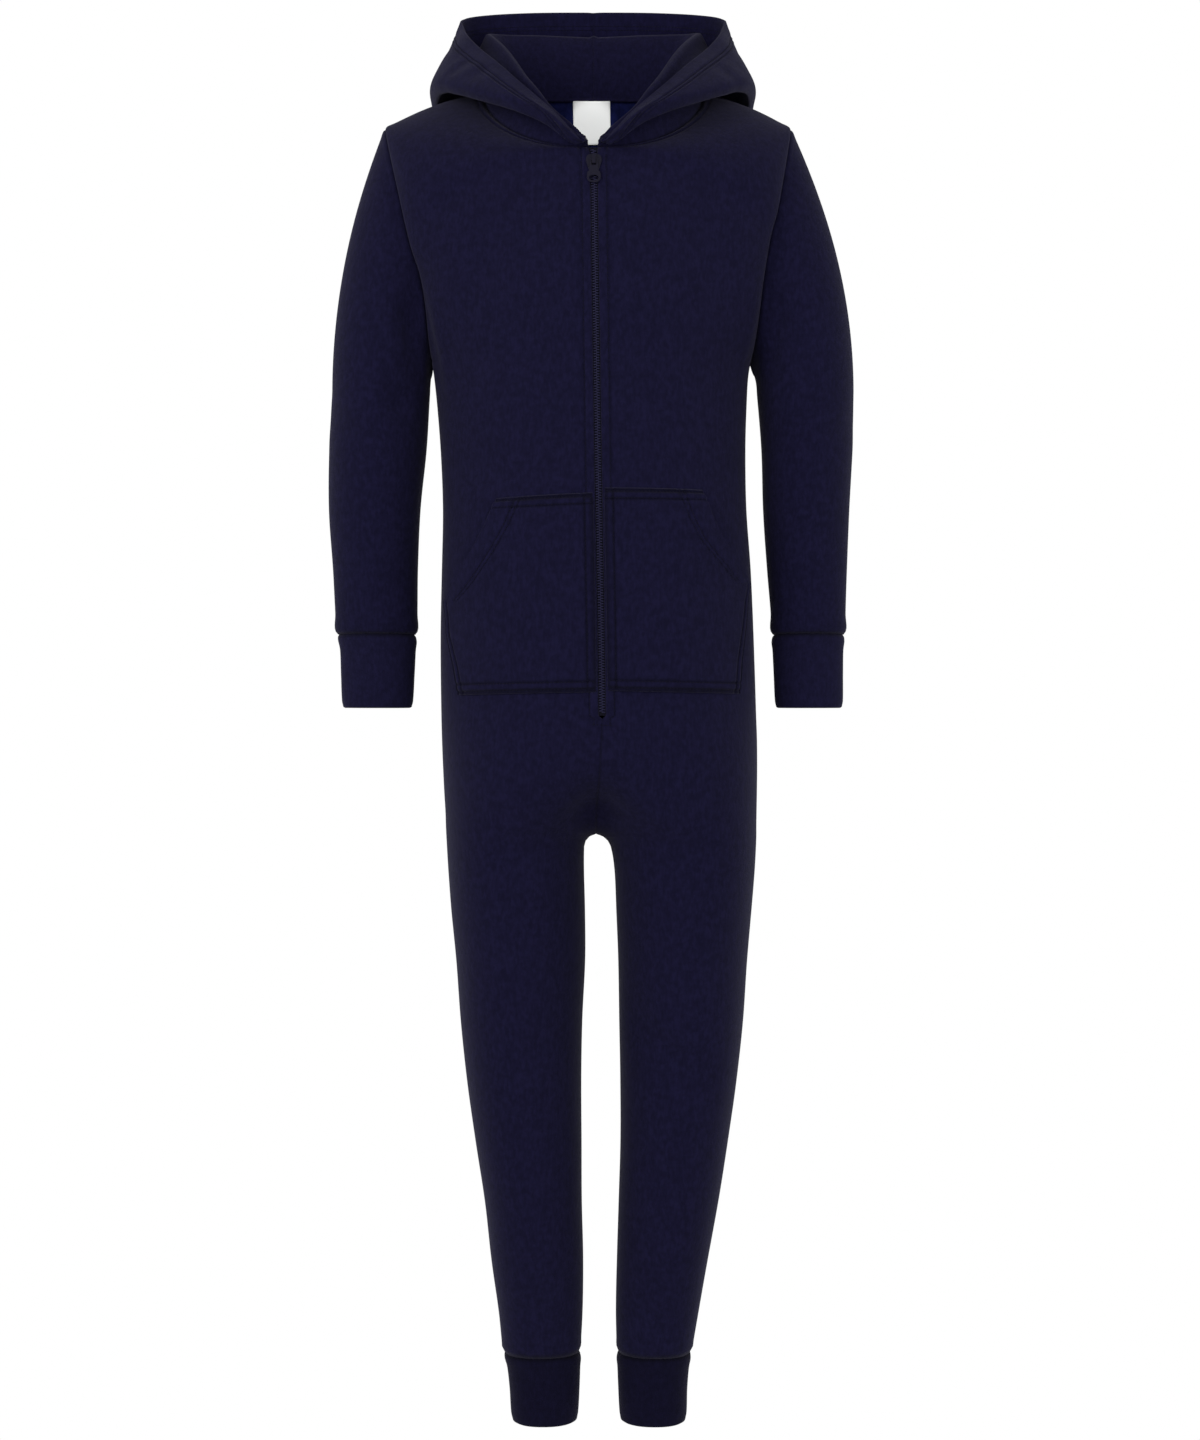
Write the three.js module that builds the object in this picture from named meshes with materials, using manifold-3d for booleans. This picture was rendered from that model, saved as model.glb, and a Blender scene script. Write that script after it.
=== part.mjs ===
// A child's hooded zip-front onesie pajama, filled out with nobody in it. Millimetres, +Z up.
// The front faces -Y. The origin is at the middle of the neck, level with the high shoulder points.
// Left and right are as seen from the front, so left pieces have negative x.
import * as THREE from 'three';
import Module from 'manifold-3d';
import { mergeVertices } from 'three/addons/utils/BufferGeometryUtils.js';

const wasm = await Module();
wasm.setup();

// Cloth
const WALL = 2.0;
const CUFF_WALL = 2.6;
const SEAM_GAP = 0.3;
const NECK_TRIM = 0.4;
const LIFT = 0.35;

// Rows and columns of the cut pieces
const NECK_STEPS = 6;
const ARMHOLE_STEPS = 12;
const PANEL_COLUMNS = 7;
const HOOD_COLUMNS = 22;
const SECTION_SAMPLES = 60;
const CURVE_SAMPLES = 300;

// Neckline and shoulders
const NECK_X = -4;
const NECK_HALF = 94;
const NECK_POINT = { y: 12, z: 18 };
const FRONT_NECK = { y: -80, z: -50 };
const BACK_NECK = { y: 62, z: 23 };
const SHOULDER_TIP = { y: 10, z: -14 };
const SHOULDER_CROWN = 4.5;
const YOKE_FALL = 1;

// Armholes: an oval loop from the shoulder tip down to the underarm
const UNDERARM_Z = -215;
const ARMHOLE_HALF_DEPTH = 46;
const ARMHOLE = {
  left: { underarm: -140, tip: -182, bend: 1.2 },
  right: { underarm: 129.5, tip: 165, bend: 1.1 },
};

// Centre front: the zip opening leans a little to the right on its way down
const ZIP_HALF = 3.8;
const ZIP_BOTTOM_Z = -515;
const CENTRE = [
  { z: 30, x: -4 },
  { z: -50, x: -3.5 },
  { z: -300, x: 0 },
  { z: -515, x: 3.4 },
  { z: -560, x: 1.5 },
  { z: -615, x: -1.7 },
  { z: -680, x: 1 },
  { z: -1120, x: 1 },
];

// Crotch: the section starts to notch at NOTCH_Z and has split into two legs at CROTCH_Z
const NOTCH_Z = -500;
const CROTCH_Z = -615;
const CROTCH_FILLET = 14;
const BODY_ROUNDNESS = 2.3;

// Body and legs: edges seen from the front, and how far the front and the back stand from y = 0
const BODY = [
  { z: -225, leftOut: -138.5, leftIn: 0, rightIn: 0, rightOut: 127.5, front: 95, back: 92 },
  { z: -250, leftOut: -136.2, leftIn: 0, rightIn: 0, rightOut: 126.2, front: 95.5, back: 92 },
  { z: -290, leftOut: -133.5, leftIn: 0, rightIn: 0, rightOut: 125, front: 96, back: 92 },
  { z: -340, leftOut: -131.8, leftIn: 0, rightIn: 0, rightOut: 125.6, front: 97, back: 93 },
  { z: -391, leftOut: -132.6, leftIn: 0, rightIn: 0, rightOut: 129.2, front: 98, back: 95 },
  { z: -442, leftOut: -133.5, leftIn: 0, rightIn: 0, rightOut: 131.8, front: 98, back: 98 },
  { z: -485, leftOut: -133.5, leftIn: 0, rightIn: 0, rightOut: 133.5, front: 97, back: 99 },
  { z: -515, leftOut: -133.2, leftIn: 0, rightIn: 0, rightOut: 134.4, front: 96, back: 99 },
  { z: -535, leftOut: -132.8, leftIn: 0, rightIn: 0, rightOut: 135, front: 95, back: 98 },
  { z: -558, leftOut: -132, leftIn: 0, rightIn: 0, rightOut: 135, front: 93, back: 97 },
  { z: -580, leftOut: -131, leftIn: 0, rightIn: 0, rightOut: 134.6, front: 90, back: 94 },
  { z: -597, leftOut: -130, leftIn: 0, rightIn: 0, rightOut: 134.2, front: 87, back: 91 },
  { z: -608, leftOut: -129.7, leftIn: 0, rightIn: 0, rightOut: 134, front: 85, back: 89 },
  { z: -613, leftOut: -129.5, leftIn: 0, rightIn: 0, rightOut: 134, front: 84, back: 88 },
  { z: -615, leftOut: -129.4, leftIn: 0, rightIn: 0, rightOut: 134, front: 83.5, back: 87.5 },
  { z: -617, leftOut: -129.3, leftIn: -6.2, rightIn: 3, rightOut: 134, front: 83, back: 87 },
  { z: -622, leftOut: -129, leftIn: -11, rightIn: 8.6, rightOut: 133.8, front: 82, back: 86 },
  { z: -633, leftOut: -128.4, leftIn: -12.2, rightIn: 12.6, rightOut: 133.3, front: 80, back: 84 },
  { z: -650, leftOut: -127.3, leftIn: -12.2, rightIn: 14.6, rightOut: 132.3, front: 78, back: 82 },
  { z: -680, leftOut: -125, leftIn: -11.6, rightIn: 16, rightOut: 130, front: 75, back: 79 },
  { z: -722, leftOut: -120.7, leftIn: -11.4, rightIn: 17.8, rightOut: 126.7, front: 72, back: 75 },
  { z: -773, leftOut: -116.5, leftIn: -13.6, rightIn: 18.7, rightOut: 123.3, front: 68, back: 70 },
  { z: -824, leftOut: -110.5, leftIn: -14.5, rightIn: 19.6, rightOut: 117.3, front: 64, back: 66 },
  { z: -875, leftOut: -102.9, leftIn: -14.5, rightIn: 19.6, rightOut: 109.7, front: 59, back: 62 },
  { z: -926, leftOut: -95.2, leftIn: -14.5, rightIn: 17.9, rightOut: 102, front: 54, back: 58 },
  { z: -977, leftOut: -90.1, leftIn: -13.2, rightIn: 16.2, rightOut: 93.5, front: 48, back: 51 },
  { z: -1020, leftOut: -84.4, leftIn: -13.4, rightIn: 15.3, rightOut: 86.2, front: 40, back: 42 },
  { z: -1054, leftOut: -80.8, leftIn: -14.8, rightIn: 16, rightOut: 80.2, front: 33, back: 33 },
];

// Ankle cuffs, below the leg's last row
const ANKLE_CUFF = [
  { z: -1064, leftOut: -78, leftIn: -14.8, rightIn: 16.3, rightOut: 78.4, front: 31.5, back: 31.5 },
  { z: -1085, leftOut: -75.4, leftIn: -15.3, rightIn: 17, rightOut: 76.4, front: 31, back: 31 },
  { z: -1105, leftOut: -74, leftIn: -16.2, rightIn: 17.9, rightOut: 75.7, front: 30.5, back: 30.5 },
  { z: -1111, leftOut: -72.6, leftIn: -17.2, rightIn: 18.8, rightOut: 74.6, front: 29.5, back: 29.5 },
];

const BODY_AND_CUFF = [...BODY, ...ANKLE_CUFF];

// Around the crotch the inner edge of a row is long, so the side seam's end is raised or lowered to suit.
const ROW_TILT = [
  { z: -558, tilt: 0 },
  { z: -580, tilt: 8 },
  { z: -597, tilt: 15 },
  { z: -608, tilt: 16 },
  { z: -613, tilt: 11 },
  { z: -615, tilt: 3 },
  { z: -617, tilt: -5 },
  { z: -622, tilt: -10 },
  { z: -633, tilt: -10 },
  { z: -650, tilt: -6 },
  { z: -680, tilt: -2 },
  { z: -722, tilt: 0 },
];

// Centre front and centre back above the underarm, seen from the side
const CENTRE_FRONT = [
  { z: -50, y: -80 },
  { z: -90, y: -86 },
  { z: -140, y: -91 },
  { z: -190, y: -94 },
  { z: -225, y: -95 },
];
const CENTRE_BACK = [
  { z: 23, y: 62 },
  { z: -20, y: 76 },
  { z: -80, y: 87 },
  { z: -150, y: 91 },
  { z: -225, y: 92 },
];

// Sleeves: level rings from below the underarm to the wrist seam
const SLEEVE_FAN_STEPS = 5;
const SLEEVE_FAN_LIFT = 0.47;
const SLEEVE = [
  { z: -240, leftOut: -225.5, leftIn: -143, rightIn: 134.6, rightOut: 217, depth: 47 },
  { z: -289, leftOut: -227.8, leftIn: -145.4, rightIn: 138.6, rightOut: 216, depth: 44 },
  { z: -340, leftOut: -227.8, leftIn: -150.5, rightIn: 140.3, rightOut: 213.4, depth: 39 },
  { z: -391, leftOut: -224.4, leftIn: -153, rightIn: 143.7, rightOut: 211.7, depth: 33 },
  { z: -428, leftOut: -222.9, leftIn: -153.5, rightIn: 146.6, rightOut: 210.9, depth: 28 },
  { z: -446, leftOut: -222, leftIn: -154, rightIn: 147.2, rightOut: 210.6, depth: 24 },
];
const WRIST_CUFF = [
  { z: -455, leftOut: -219.6, leftIn: -154.6, rightIn: 147.7, rightOut: 209.4, depth: 21.5 },
  { z: -480, leftOut: -218.9, leftIn: -155.6, rightIn: 148.8, rightOut: 209.1, depth: 21 },
  { z: -502, leftOut: -218.3, leftIn: -156.6, rightIn: 149.8, rightOut: 209, depth: 20.5 },
  { z: -507.5, leftOut: -217.2, leftIn: -157.8, rightIn: 150.9, rightOut: 208, depth: 19.5 },
];

// Hood, lying down: from the neck seam its cloth rises to a roll, falls outside it to the bottom of the
// bag, and rises again to the face edge. Each table has a row for each station from the zip round to the
// centre back: half is how far the point stands from the middle of the neck.
const HOOD_ROLL_RADIUS = 4.5;
const HOOD_BAG_RADIUS = 6;
const HOOD_TURN = {
  fallOut: 2,
  fallDown: 1.6,
  behind: 1.5,
  rise: 2.2,
  under: 0.4,
  ahead: 0.7,
  aheadRise: 1.4,
};
const HOOD_BULGE = 5;
const HOOD_LONG_FALL = 30;
const HOOD_GROWN_STATION = 2;
const HOOD_ROLL = [
  { half: 5.5, y: -82, z: -46 },
  { half: 16, y: -80, z: -35 },
  { half: 33, y: -72, z: -18 },
  { half: 45, y: -61, z: 1 },
  { half: 55, y: -46, z: 17 },
  { half: 63, y: -29, z: 33 },
  { half: 71, y: -8, z: 49 },
  { half: 78, y: 12, z: 61 },
  { half: 84, y: 32, z: 71 },
  { half: 87, y: 54, z: 79 },
  { half: 75, y: 71, z: 83 },
  { half: 42, y: 80, z: 85 },
  { half: 0, y: 85, z: 85 },
];
const HOOD_BAG = [
  { half: 6, y: -87, z: -46.5 },
  { half: 18, y: -93, z: -49 },
  { half: 41, y: -91, z: -33 },
  { half: 65, y: -82, z: -21 },
  { half: 86, y: -66, z: -11 },
  { half: 107, y: -44, z: 0 },
  { half: 125, y: -18, z: 10 },
  { half: 134, y: 8, z: 13 },
  { half: 136, y: 38, z: 8 },
  { half: 131, y: 70, z: -10 },
  { half: 109, y: 96, z: -48 },
  { half: 62, y: 110, z: -98 },
  { half: 0, y: 114, z: -124 },
];
const HOOD_EDGE = [
  { half: 6.5, y: -90.5, z: -47.5 },
  { half: 15, y: -94, z: -42 },
  { half: 30, y: -92, z: -25 },
  { half: 46, y: -83, z: -9 },
  { half: 63, y: -67, z: 9 },
  { half: 80, y: -43, z: 29 },
  { half: 96, y: -15, z: 48 },
  { half: 107, y: 8, z: 64 },
  { half: 112, y: 34, z: 78 },
  { half: 114, y: 64, z: 94 },
  { half: 94, y: 94, z: 106 },
  { half: 52, y: 108, z: 112 },
  { half: 0, y: 114, z: 114 },
];

// Largest folds: soft troughs, each from one point to another
const FOLDS = [
  { from: [-147, -42, -150], to: [-160, -44, -250], width: 20, depth: 6 },
  { from: [144, -42, -120], to: [158, -44, -215], width: 18, depth: 3.5 },
  { from: [-147, 46, -150], to: [-162, 44, -250], width: 20, depth: 5 },
  { from: [138, 46, -150], to: [152, 44, -250], width: 20, depth: 5 },
  { from: [-4, -60, -592], to: [-60, -84, -622], width: 22, depth: 4 },
  { from: [-2, -60, -592], to: [64, -84, -622], width: 22, depth: 4 },
  { from: [20, -60, -765], to: [75, -66, -815], width: 24, depth: 4 },
  { from: [-100, 60, -860], to: [-30, 66, -890], width: 26, depth: 4 },
  { from: [105, 60, -860], to: [35, 66, -890], width: 26, depth: 4 },
  { from: [-95, 90, -560], to: [-20, 92, -600], width: 26, depth: 5 },
  { from: [98, 90, -560], to: [22, 92, -600], width: 26, depth: 5 },
];

// Split kangaroo pocket: the outer outline of each half from its top corner to its bottom corner
const POCKET = {
  left: {
    innerTop: -335,
    innerBottom: -495,
    edge: [
      { x: -82.5, z: -338 },
      { x: -91, z: -360 },
      { x: -101, z: -380 },
      { x: -115, z: -405 },
      { x: -126.5, z: -421 },
      { x: -125, z: -447 },
      { x: -119, z: -475 },
      { x: -115.5, z: -497 },
    ],
  },
  right: {
    innerTop: -331,
    innerBottom: -494,
    edge: [
      { x: 84.5, z: -331 },
      { x: 91, z: -352 },
      { x: 99, z: -370 },
      { x: 114, z: -391 },
      { x: 124.5, z: -406 },
      { x: 122, z: -440 },
      { x: 118.5, z: -470 },
      { x: 117, z: -496 },
    ],
  },
};
const POCKET_COLUMNS = 9;
const POCKET_CENTRE_GAP = 5.2;
const POCKET_LIFT = 1.2;
const POCKET_GAPE = 2.4;
const POCKET_GAPE_WAVES = 0.8;

// Zip
const TAPE_WIDTH = 13;
const TAPE_THICK = 0.8;
const CHAIN_WIDTH = 5.6;
const CHAIN_THICK = 1.55;
const CHAIN_SINK = 0.5;
const TAPE_CENTRE_GAP = 0.2;
const SLIDER = {
  width: 13,
  height: 13,
  drop: 2,
  thick: 1.5,
  standOff: 0.35,
  footShare: 0.32,
  crownShare: 0.22,
  cheekShare: 0.1,
  web: 2.5,
  webShare: 0.4,
  webDepth: 0.15,
  webOverlap: 0.4,
  z: -61,
};
const BAIL = { width: 3, reach: 4, hole: 2.6, rise: 3, bar: 1, sunk: 0.5 };
const PULL = {
  length: 20,
  thick: 1.1,
  bar: 1.1,
  frame: 3.4,
  frameLength: 7,
  frameBar: 1.6,
  neck: 3.9,
  neckSlope: 1,
  clear: 0.45,
  ring: { width: 11.3, height: 8.4, shoulder: 1, slope: 1.5, waistShare: 0.4 },
  hole: { width: 8.2, height: 5, drop: 0.3 },
};
const PULL_AXIS = SLIDER.standOff + SLIDER.thick + (BAIL.rise - BAIL.bar) / 2;

// Neck label, sewn into the back neck seam and left bare
const LABEL = { x: -5.7, width: 32, top: 21.5, bottom: -14, thick: 0.6, lift: 1.7 };

const NAVY = new THREE.Color().setRGB(27 / 255, 25 / 255, 48 / 255, THREE.SRGBColorSpace);
const INDIGO = new THREE.Color().setRGB(30 / 255, 28 / 255, 51 / 255, THREE.SRGBColorSpace);
const WHITE = new THREE.Color().setRGB(247 / 255, 248 / 255, 245 / 255, THREE.SRGBColorSpace);
const fleece = new THREE.MeshStandardMaterial({ color: NAVY, roughness: 0.95, metalness: 0 });
const zipCloth = new THREE.MeshStandardMaterial({ color: INDIGO, roughness: 0.8, metalness: 0 });
const zipMetal = new THREE.MeshStandardMaterial({ color: INDIGO, roughness: 0.35, metalness: 0.6 });
const satin = new THREE.MeshStandardMaterial({ color: WHITE, roughness: 0.6, metalness: 0 });

const garment = new THREE.Group();
const V = (x, y, z) => new THREE.Vector3(x, y, z);

// Reads one named column of a table at a height, on a smooth curve through its rows.
function atHeight(table, name, z) {
  const last = table.length - 1;
  if (z >= table[0].z) return table[0][name];
  if (z <= table[last].z) return table[last][name];
  let row = 0;
  while (table[row + 1].z > z) row += 1;
  const value = (index) => table[Math.min(Math.max(index, 0), last)][name];
  const height = (index) => table[Math.min(Math.max(index, 0), last)].z;
  const span = height(row + 1) - height(row);
  const t = (z - height(row)) / span;
  const slope = (index) => {
    const run = height(index + 1) - height(index - 1);
    return run === 0 ? 0 : ((value(index + 1) - value(index - 1)) / run) * span;
  };
  const t2 = t * t;
  const t3 = t2 * t;
  return (2 * t3 - 3 * t2 + 1) * value(row) + (t3 - 2 * t2 + t) * slope(row)
    + (3 * t2 - 2 * t3) * value(row + 1) + (t3 - t2) * slope(row + 1);
}

const centreX = (z) => atHeight(CENTRE, 'x', z);

// Spreads count + 1 points evenly along a finely sampled path.
function evenly(path, count) {
  const reach = [0];
  for (let i = 1; i < path.length; i += 1) reach.push(reach[i - 1] + path[i].distanceTo(path[i - 1]));
  const total = reach[reach.length - 1];
  const points = [];
  let leg = 0;
  for (let i = 0; i <= count; i += 1) {
    const goal = (total * i) / count;
    while (leg < path.length - 2 && reach[leg + 1] < goal) leg += 1;
    const part = (goal - reach[leg]) / (reach[leg + 1] - reach[leg]);
    points.push(path[leg].clone().lerp(path[leg + 1], Math.min(Math.max(part, 0), 1)));
  }
  return points;
}

// Rounded-square powers of sine and cosine, so that sin and cos trace a superellipse.
const rounded = (value, power) => Math.sign(value) * Math.abs(value) ** (2 / power);

// One quarter of a level section of the body, or half of a leg's, from its inner edge to its side seam.
function section(z, side, facing) {
  const centre = centreX(z);
  const outer = Math.abs(atHeight(BODY_AND_CUFF, `${side}Out`, z) - centre);
  const legInner = z < CROTCH_Z ? Math.abs(atHeight(BODY_AND_CUFF, `${side}In`, z) - centre) : 0;
  const inner = z >= ZIP_BOTTOM_Z && facing === 'front' ? ZIP_HALF : legInner;
  const depth = atHeight(BODY_AND_CUFF, facing, z);
  const reach = Math.hypot(outer, CROTCH_FILLET);
  const drop = Math.min(Math.max((NOTCH_Z - z) / (NOTCH_Z - CROTCH_Z), 0), 1);
  const notch = (-reach * (1 - drop)) / (1 + drop) + CROTCH_FILLET * drop * drop;
  const start = z < CROTCH_Z ? Math.hypot(legInner, CROTCH_FILLET) : notch;
  const middle = (start + reach) / 2;
  const half = (reach - start) / 2;
  const first = Math.max((Math.hypot(inner, CROTCH_FILLET) - middle) / half, -1);
  const firstAngle = Math.asin(Math.sign(first) * Math.abs(first) ** (BODY_ROUNDNESS / 2));
  const path = [];
  for (let i = 0; i <= SECTION_SAMPLES; i += 1) {
    const angle = firstAngle + ((Math.PI / 2 - firstAngle) * i) / SECTION_SAMPLES;
    const stretched = middle + half * rounded(Math.sin(angle), BODY_ROUNDNESS);
    const x = Math.sqrt(Math.max(stretched ** 2 - CROTCH_FILLET ** 2, 0));
    const y = i === SECTION_SAMPLES ? 0 : depth * rounded(Math.cos(angle), BODY_ROUNDNESS);
    path.push(V(centre + x * (side === 'left' ? -1 : 1), facing === 'front' ? -y : y, z));
  }
  return evenly(path, PANEL_COLUMNS);
}

// A row of a panel, from its inner edge to its side seam, which lies higher or lower by the row's tilt.
function quarterRow(row, side, facing) {
  const tilt = atHeight(ROW_TILT, 'tilt', row.z);
  const points = [];
  for (let c = 0; c <= PANEL_COLUMNS; c += 1) {
    const part = c / PANEL_COLUMNS;
    const z = row.z + tilt * part * part * (3 - 2 * part);
    points.push(section(z, side, facing)[c]);
  }
  return points;
}

// A point of the neckline: step 0 is the high shoulder point and NECK_STEPS the centre.
function neckPoint(step, side, facing) {
  const angle = ((Math.PI / 2) * step) / NECK_STEPS;
  const middle = facing === 'front' ? FRONT_NECK : BACK_NECK;
  const centreHalf = facing === 'front' ? ZIP_HALF : 0;
  const half = centreHalf + (NECK_HALF - centreHalf) * (step === NECK_STEPS ? 0 : Math.cos(angle));
  const rise = Math.sin(angle);
  return V(
    NECK_X + (side === 'left' ? -half : half),
    NECK_POINT.y + (middle.y - NECK_POINT.y) * rise,
    NECK_POINT.z + (middle.z - NECK_POINT.z) * rise,
  );
}

// A point of the armhole seam: step 0 is the shoulder tip and ARMHOLE_STEPS the underarm.
function armholePoint(step, side, facing) {
  const angle = (Math.PI * step) / ARMHOLE_STEPS;
  const shape = ARMHOLE[side];
  const height = (1 + Math.cos(angle)) / 2;
  const z = UNDERARM_Z + (SHOULDER_TIP.z - UNDERARM_Z) * height;
  const bulge = step === ARMHOLE_STEPS ? 0 : ARMHOLE_HALF_DEPTH * Math.sin(angle);
  const y = SHOULDER_TIP.y * height + (facing === 'front' ? -bulge : bulge);
  return V(shape.underarm + (shape.tip - shape.underarm) * height ** shape.bend, y, z);
}

// A row above the underarm, from the neckline or the centre line to the armhole.
function yokeRow(step, side, facing) {
  const outer = armholePoint(step, side, facing);
  let inner = neckPoint(Math.min(step, NECK_STEPS), side, facing);
  if (step > NECK_STEPS) {
    const line = facing === 'front' ? CENTRE_FRONT : CENTRE_BACK;
    const top = line[0].z;
    const part = (step - NECK_STEPS) / (ARMHOLE_STEPS - NECK_STEPS);
    const z = top + (line[line.length - 1].z + 10 - top) * part;
    const half = facing === 'front' ? ZIP_HALF : 0;
    inner = V(centreX(z) + (side === 'left' ? -half : half), atHeight(line, 'y', z), z);
  }
  const fall = 1 + YOKE_FALL * Math.min(step / NECK_STEPS, 1);
  const path = [];
  for (let i = 0; i <= SECTION_SAMPLES; i += 1) {
    const angle = ((Math.PI / 2) * i) / SECTION_SAMPLES;
    const across = rounded(Math.sin(angle), BODY_ROUNDNESS);
    const along = i === SECTION_SAMPLES ? 0 : rounded(Math.cos(angle), BODY_ROUNDNESS);
    const crown = SHOULDER_CROWN * Math.sin(Math.PI * across) * (1 - step / ARMHOLE_STEPS) ** 2;
    path.push(V(
      inner.x + (outer.x - inner.x) * across,
      outer.y + (inner.y - outer.y) * along,
      inner.z + (outer.z - inner.z) * across ** fall + crown,
    ));
  }
  return evenly(path, PANEL_COLUMNS);
}

// Cloth pieces wait here as grids of outer points until every seam's normals are known.
const cloth = [];

function addCloth(name, rows, outward, options = {}) {
  cloth.push({ name, rows, outward, wall: WALL, tube: false, trim: SEAM_GAP / 2, ...options });
}

function buildPanels() {
  for (const side of ['left', 'right']) {
    for (const facing of ['front', 'back']) {
      const rows = [];
      for (let step = 0; step <= ARMHOLE_STEPS; step += 1) rows.push(yokeRow(step, side, facing));
      for (const row of BODY.slice(1)) rows.push(quarterRow(row, side, facing));
      const outward = (side === 'left') === (facing === 'front') ? 1 : -1;
      addCloth(`${facing}_${side}`, rows, outward);
    }
  }
}

// A level ring of a sleeve, from the inner side round the front and the outer side to the back.
function sleeveRing(row, side) {
  const count = 2 * ARMHOLE_STEPS;
  const inner = row[`${side}In`];
  const outer = row[`${side}Out`];
  const ring = [];
  for (let i = 0; i < count; i += 1) {
    const angle = (2 * Math.PI * i) / count;
    const x = (inner + outer) / 2 + ((inner - outer) / 2) * Math.cos(angle);
    ring.push(V(x, -row.depth * Math.sin(angle), row.z));
  }
  return ring;
}

function armholeRing(side) {
  const ring = [];
  for (let i = 0; i < 2 * ARMHOLE_STEPS; i += 1) {
    const front = i <= ARMHOLE_STEPS;
    const step = front ? ARMHOLE_STEPS - i : i - ARMHOLE_STEPS;
    ring.push(armholePoint(step, side, front ? 'front' : 'back'));
  }
  return ring;
}

function buildSleeves() {
  for (const side of ['left', 'right']) {
    const seam = armholeRing(side);
    const first = sleeveRing(SLEEVE[0], side);
    const rows = [];
    for (let fan = 0; fan < SLEEVE_FAN_STEPS; fan += 1) {
      const t = fan / SLEEVE_FAN_STEPS;
      rows.push(seam.map((start, i) => {
        const end = first[i];
        const bend = V(end.x, end.y, end.z + SLEEVE_FAN_LIFT * (start.z - end.z));
        return new THREE.QuadraticBezierCurve3(start, bend, end).getPoint(t);
      }));
    }
    for (const row of SLEEVE) rows.push(sleeveRing(row, side));
    const outward = side === 'left' ? 1 : -1;
    addCloth(`sleeve_${side}`, rows, outward, { tube: true });
    const cuffRows = [SLEEVE[SLEEVE.length - 1], ...WRIST_CUFF].map((row) => sleeveRing(row, side));
    addCloth(`wrist_cuff_${side}`, cuffRows, outward, { tube: true, wall: CUFF_WALL });
  }
}

// A whole ring of a leg: the front half from the inseam to the side seam, and the back half home.
function legRing(row, side) {
  const front = quarterRow(row, side, 'front');
  const back = quarterRow(row, side, 'back').reverse();
  return [...front, ...back.slice(1, -1)];
}

function buildAnkleCuffs() {
  for (const side of ['left', 'right']) {
    const rows = [BODY[BODY.length - 1], ...ANKLE_CUFF].map((row) => legRing(row, side));
    addCloth(`ankle_cuff_${side}`, rows, side === 'left' ? 1 : -1, { tube: true, wall: CUFF_WALL });
  }
}

// The hood's cloth at one station, as a curve through its neck seam, roll, bag bottom and face edge.
function hoodProfile(neck, side, station) {
  const sign = side === 'left' ? -1 : 1;
  const place = ({ half, y, z }) => V(NECK_X + sign * half, y, z);
  const roll = place(HOOD_ROLL[station]);
  const bag = place(HOOD_BAG[station]);
  const edge = place(HOOD_EDGE[station]);
  const away = V(bag.x - roll.x, bag.y - roll.y, 0).normalize();
  const grown = Math.min(station / HOOD_GROWN_STATION, 1);
  const rollRadius = HOOD_ROLL_RADIUS * grown;
  const bagRadius = HOOD_BAG_RADIUS * grown;
  const offset = (point, out, up) => point.clone().addScaledVector(away, out).add(V(0, 0, up));
  const { fallOut, fallDown, behind, rise, under, ahead, aheadRise } = HOOD_TURN;
  const keys = [neck.clone(), neck.clone().lerp(roll, 0.5)];
  if (grown > 0) {
    const fall = offset(roll, fallOut * rollRadius, -fallDown * rollRadius);
    const inside = offset(bag, -behind * bagRadius, rise * bagRadius);
    const outside = offset(bag, ahead * bagRadius, aheadRise * bagRadius);
    const bulge = outside.clone().lerp(edge, 0.5).addScaledVector(away, HOOD_BULGE * grown);
    keys.push(offset(roll, 0, -rollRadius), offset(roll, rollRadius, 0), fall);
    if (fall.z - inside.z > HOOD_LONG_FALL) keys.push(fall.clone().lerp(inside, 0.5));
    keys.push(inside, offset(bag, -under * bagRadius, 0), outside, bulge, edge);
  } else {
    keys.push(roll, bag, edge);
  }
  const curve = new THREE.CatmullRomCurve3(keys, false, 'centripetal');
  return evenly(curve.getPoints(CURVE_SAMPLES), HOOD_COLUMNS);
}

function buildHood() {
  for (const side of ['left', 'right']) {
    const rows = [];
    for (let station = 0; station < HOOD_ROLL.length; station += 1) {
      const facing = station <= NECK_STEPS ? 'front' : 'back';
      const neck = neckPoint(Math.abs(station - NECK_STEPS), side, facing);
      rows.push(hoodProfile(neck, side, station));
    }
    addCloth(`hood_${side}`, rows, side === 'left' ? 1 : -1, { trim: NECK_TRIM });
  }
}

// Adds up the face normals around every point of a grid, each turned to the outside.
function sumNormals({ rows, outward, tube }, add) {
  const columns = rows[0].length;
  for (let r = 0; r + 1 < rows.length; r += 1) {
    for (let c = 0; c < (tube ? columns : columns - 1); c += 1) {
      const next = (c + 1) % columns;
      const corners = [rows[r][c], rows[r][next], rows[r + 1][next], rows[r + 1][c]];
      const diagonal = corners[2].clone().sub(corners[0]);
      const other = corners[3].clone().sub(corners[1]);
      const normal = diagonal.cross(other).multiplyScalar(outward);
      corners.forEach((corner) => add(corner, normal));
    }
  }
}

// Pieces that share a seam share its points, so both get one normal there and a mitred edge.
const KEY_SCALE = 16.7;
const pointKey = (p) => [p.x, p.y, p.z].map((value) => Math.round(value * KEY_SCALE)).join();

function sharedNormals(pieces) {
  const sums = new Map();
  for (const piece of pieces) {
    sumNormals(piece, (point, normal) => {
      const key = pointKey(point);
      sums.set(key, (sums.get(key) ?? V(0, 0, 0)).add(normal));
    });
  }
  return (point) => sums.get(pointKey(point)).clone().normalize();
}

// How far a point lies from the line between a fold's two ends.
function distanceToFold(point, fold) {
  const line = new THREE.Line3(V(...fold.from), V(...fold.to));
  return line.closestPointToPoint(point, true, V(0, 0, 0)).distanceTo(point);
}

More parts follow.
